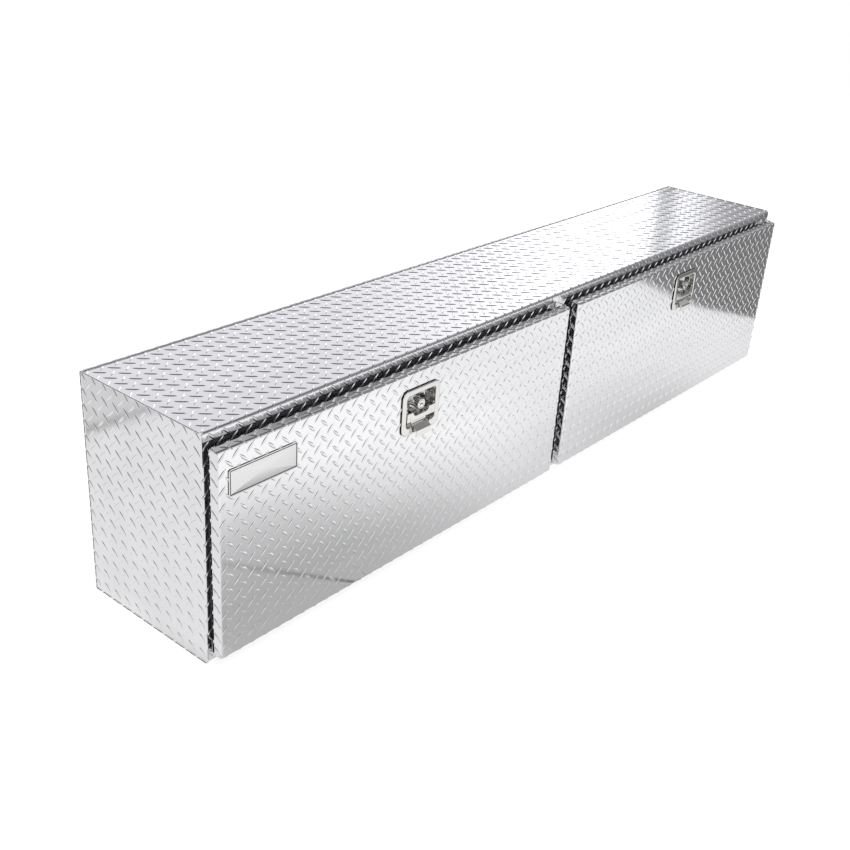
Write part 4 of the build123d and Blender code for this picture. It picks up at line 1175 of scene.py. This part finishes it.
def look_at_box() -> None:
    """Set the camera at the viewing angle, with the roll and the distance that frame the box."""
    azimuth, elevation, roll = (math.radians(a) for a in (-51.234, 26.524, 4.012))
    distance, slide, lift = 2.4004, -0.16848, -0.12537
    lens, sensor = 48.115482, 36.0
    back = np.array(
        [
            math.sin(azimuth) * math.cos(elevation),
            -math.cos(azimuth) * math.cos(elevation),
            math.sin(elevation),
        ]
    )
    right = np.cross(-back, Z)
    right /= np.linalg.norm(right)
    up = np.cross(right, -back)
    right, up = (
        math.cos(roll) * right + math.sin(roll) * up,
        -math.sin(roll) * right + math.cos(roll) * up,
    )
    low, high = (np.array(c) for c in CAD_BOX)
    target = np.array([0, 0, (low[2] + high[2]) / 2])
    data = bpy.data.cameras.new("camera")
    data.sensor_width = sensor
    data.lens = lens
    camera = bpy.data.objects.new("camera", data)
    place = target + back * distance + right * slide + up * lift
    matrix = np.eye(4)
    matrix[:3, 0], matrix[:3, 1], matrix[:3, 2], matrix[:3, 3] = right, up, back, place
    camera.matrix_world = Matrix(matrix.tolist())
    bpy.context.collection.objects.link(camera)
    bpy.context.scene.camera = camera


@dataclass(frozen=True)
class FloorPaint(Finish):
    """A floor lit from within, so that it stays pale to its far edge."""

    glow: float = 0.86

    def pattern(self, shader: Shader) -> dict[str, Any]:
        """An even glow, and slightly cloudy roughness."""
        cloud = shader.noise((3, 3, 3), 2.0)
        glow = {"Emission Color": (1.0, 1.0, 1.0, 1.0), "Emission Strength": self.glow}
        return {"Roughness": self.roughness + 0.05 * (cloud - 0.5), **glow}


def paint_room(shader: Shader) -> Wire:
    """Brightness of the room by direction: a bright wall, a dark ceiling and a dark end.

    The turn is measured from +Y towards +X, in radians, and the height is the sine of the elevation.
    """
    direction = shader.node("ShaderNodeTexCoord", output="Generated")
    x, y, z = shader.parts(direction)
    turn = shader.node("ShaderNodeMath", {"operation": "ARCTAN2"}, [x, y])
    low = 1 - z.above(0.5, 0.3)
    wall = turn.within(0.1, 1.093, 0.01) * low
    wall_light = 0.87 + 0.26 * turn.above(0.88, 0.2) + 1.4 * turn.above(0.985, 0.11)
    seam = turn.within(1.081, 1.099, 0.004) * low
    corner = turn.within(1.093, 1.75, 0.01) * low
    corner_light = 1.35 - 0.93 * turn.above(1.125, 0.05)
    front = turn.within(1.75, 2.5, 0.2) * (1 - z.above(0.72, 0.2))
    side = turn.within(2.5, 3.0, 0.2) * low
    behind = (turn.above(2.95, 0.2) + (1 - turn.above(-1.0, 0.5))) * low
    rest = 0.6 - 0.46 * z.above(0.72, 0.16) + 0.5 * side - 0.4 * behind - 0.34 * front
    lit = rest * (1 - wall) * (1 - corner) + wall * wall_light + corner * corner_light
    return lit * (1 - 0.85 * seam)


def paint_ground_reflection(shader: Shader) -> Wire:
    """Painted reflection of the ground as bright metal sees it, in metres on the floor, with painted shade
    near the box and painted dark bands.
    """
    x, y, _ = shader.parts(shader.place())
    left = 1 - x.above(-0.3, 0.7)
    behind = 1 - x.above(-0.9, 0.1)
    # painted shade: the reflected ground greys near the box's door side and its left end
    away = (-1 * y - 0.22 * left).above(0.27, 0.42)
    near = (1 - away) * (0.36 + 0.2 * left) * (1 - y.above(0.0, 0.2)) * (1 - behind)
    near = near * (1 - 0.75 * x.above(0.65, 0.4))
    # painted reflection of a dark area beyond a slanting line on the right
    edge = x - 0.3 * abs(y + 0.45) - 1.19
    dark = edge.above(0.0, 0.02) * (1 - y.above(0.2, 0.4))
    # painted dark line along a fold, and a painted dark strip far behind
    fold = 0.843 * (x + 0.647) - 0.535 * (y + 0.271)
    crease = fold.within(-0.004, 0.004, 0.003) * (1 - y.above(-0.1, 0.05)) * y.above(-0.6, 0.1)
    back = y.within(0.65, 0.68, 0.01) * 0.8 + y.above(0.66, 0.02) * 0.3
    top = 1.02 - 0.1 * x.above(0.15, 0.5) - 0.2 * behind
    return (top - near) * (1 - 0.79 * dark) * (1 - 0.6 * crease) * (1 - 0.6 * back * behind)


def light_studio() -> None:
    """A pale floor, a glowing card that paints the ground's reflection for bright metal only, a room that
    bright metal reflects, and two wide soft lamps.
    """
    quads = np.array([[0, 1, 2, 3]])
    reach, below, card_below = 40.0, 0.5 * MM, 0.2 * MM
    corners = reach * np.array([[-1, -1, 0], [1, -1, 0], [1, 1, 0], [-1, 1, 0]])
    floor = put_mesh("floor", corners - [0, 0, below], quads)
    floor.data.materials.append(FloorPaint("pale_floor", (0.2, 0.2, 0.2), 0.8, 0.0).material())
    # painted reflection: a glowing card just above the floor, seen only in bright metal, with painted shade
    # near the box
    card = put_mesh("painted_floor_reflection", corners - [0, 0, card_below], quads)
    glow = bpy.data.materials.new("painted_floor_reflection")
    shader = Shader(glow)
    surface = shader.node(
        "ShaderNodeEmission", inputs={"Color": (1, 1, 1, 1), "Strength": paint_ground_reflection(shader)}
    )
    shader.node("ShaderNodeOutputMaterial", inputs={"Surface": surface})
    card.data.materials.append(glow)
    card.visible_camera = card.visible_diffuse = card.visible_shadow = card.visible_transmission = False
    world = bpy.data.worlds.new("studio")
    bpy.context.scene.world = world
    shader = Shader(world)
    seen = shader.node("ShaderNodeLightPath", output="Is Camera Ray")
    lit = paint_room(shader) * (1 - seen) + seen
    sky = shader.node("ShaderNodeBackground", inputs={"Color": (0.97, 0.97, 1, 1), "Strength": lit})
    shader.node("ShaderNodeOutputWorld", inputs={"Surface": sky})
    for name, place, size, power in (
        ("key", (-1.2, -1.6, 3.6), 3.0, 95.0),
        ("fill", (1.8, -0.8, 3.4), 3.0, 70.0),
    ):
        lamp = bpy.data.lights.new(name, "AREA")
        lamp.energy = power
        lamp.size = size
        holder = bpy.data.objects.new(name, lamp)
        aim = np.array(place) / np.linalg.norm(place)
        holder.location = place
        holder.rotation_euler = (math.acos(aim[2]), 0, math.atan2(aim[0], -aim[1]))
        holder.visible_glossy = False
        bpy.context.collection.objects.link(holder)
    bpy.context.scene.view_settings.view_transform = "Standard"


def dress_frame() -> None:
    """Give the CAD nodes that stay in view their finishes, by the slot that the record gives them."""
    finishes = {
        Slot.TREAD: TREAD,
        Slot.SMOOTH: MILL,
        Slot.POLISHED: BUFFED,
        Slot.SHEET: SATIN,
        Slot.ZINC: ZINCED,
        Slot.SPRING: SPRING,
        Slot.RIVET: RIVETED,
        Slot.CHROME: CHROMED,
        Slot.RUBBER: BLACK_RUBBER,
        Slot.PLATE: MILL,
    }
    slots = {row["node"]: Slot(row["material_slot"]) for row in frame["record"]["subparts"]}
    for name, node in frame["nodes"].items():
        node.data.materials.clear()
        node.data.materials.append(finishes[slots[name]].material())


def main() -> None:
    """Build the pieces in order and report each one."""
    logging.basicConfig(level=logging.INFO, format="%(name)s: %(message)s")
    dress_frame()
    LOG.info("frame dressed")
    Cabinet().build()
    for hand in Hand:
        Door(hand).build()
    build_nameplate()
    LOG.info("nameplate")
    look_at_box()
    light_studio()
    LOG.info("all pieces made")


if __name__ == "__main__":
    main()
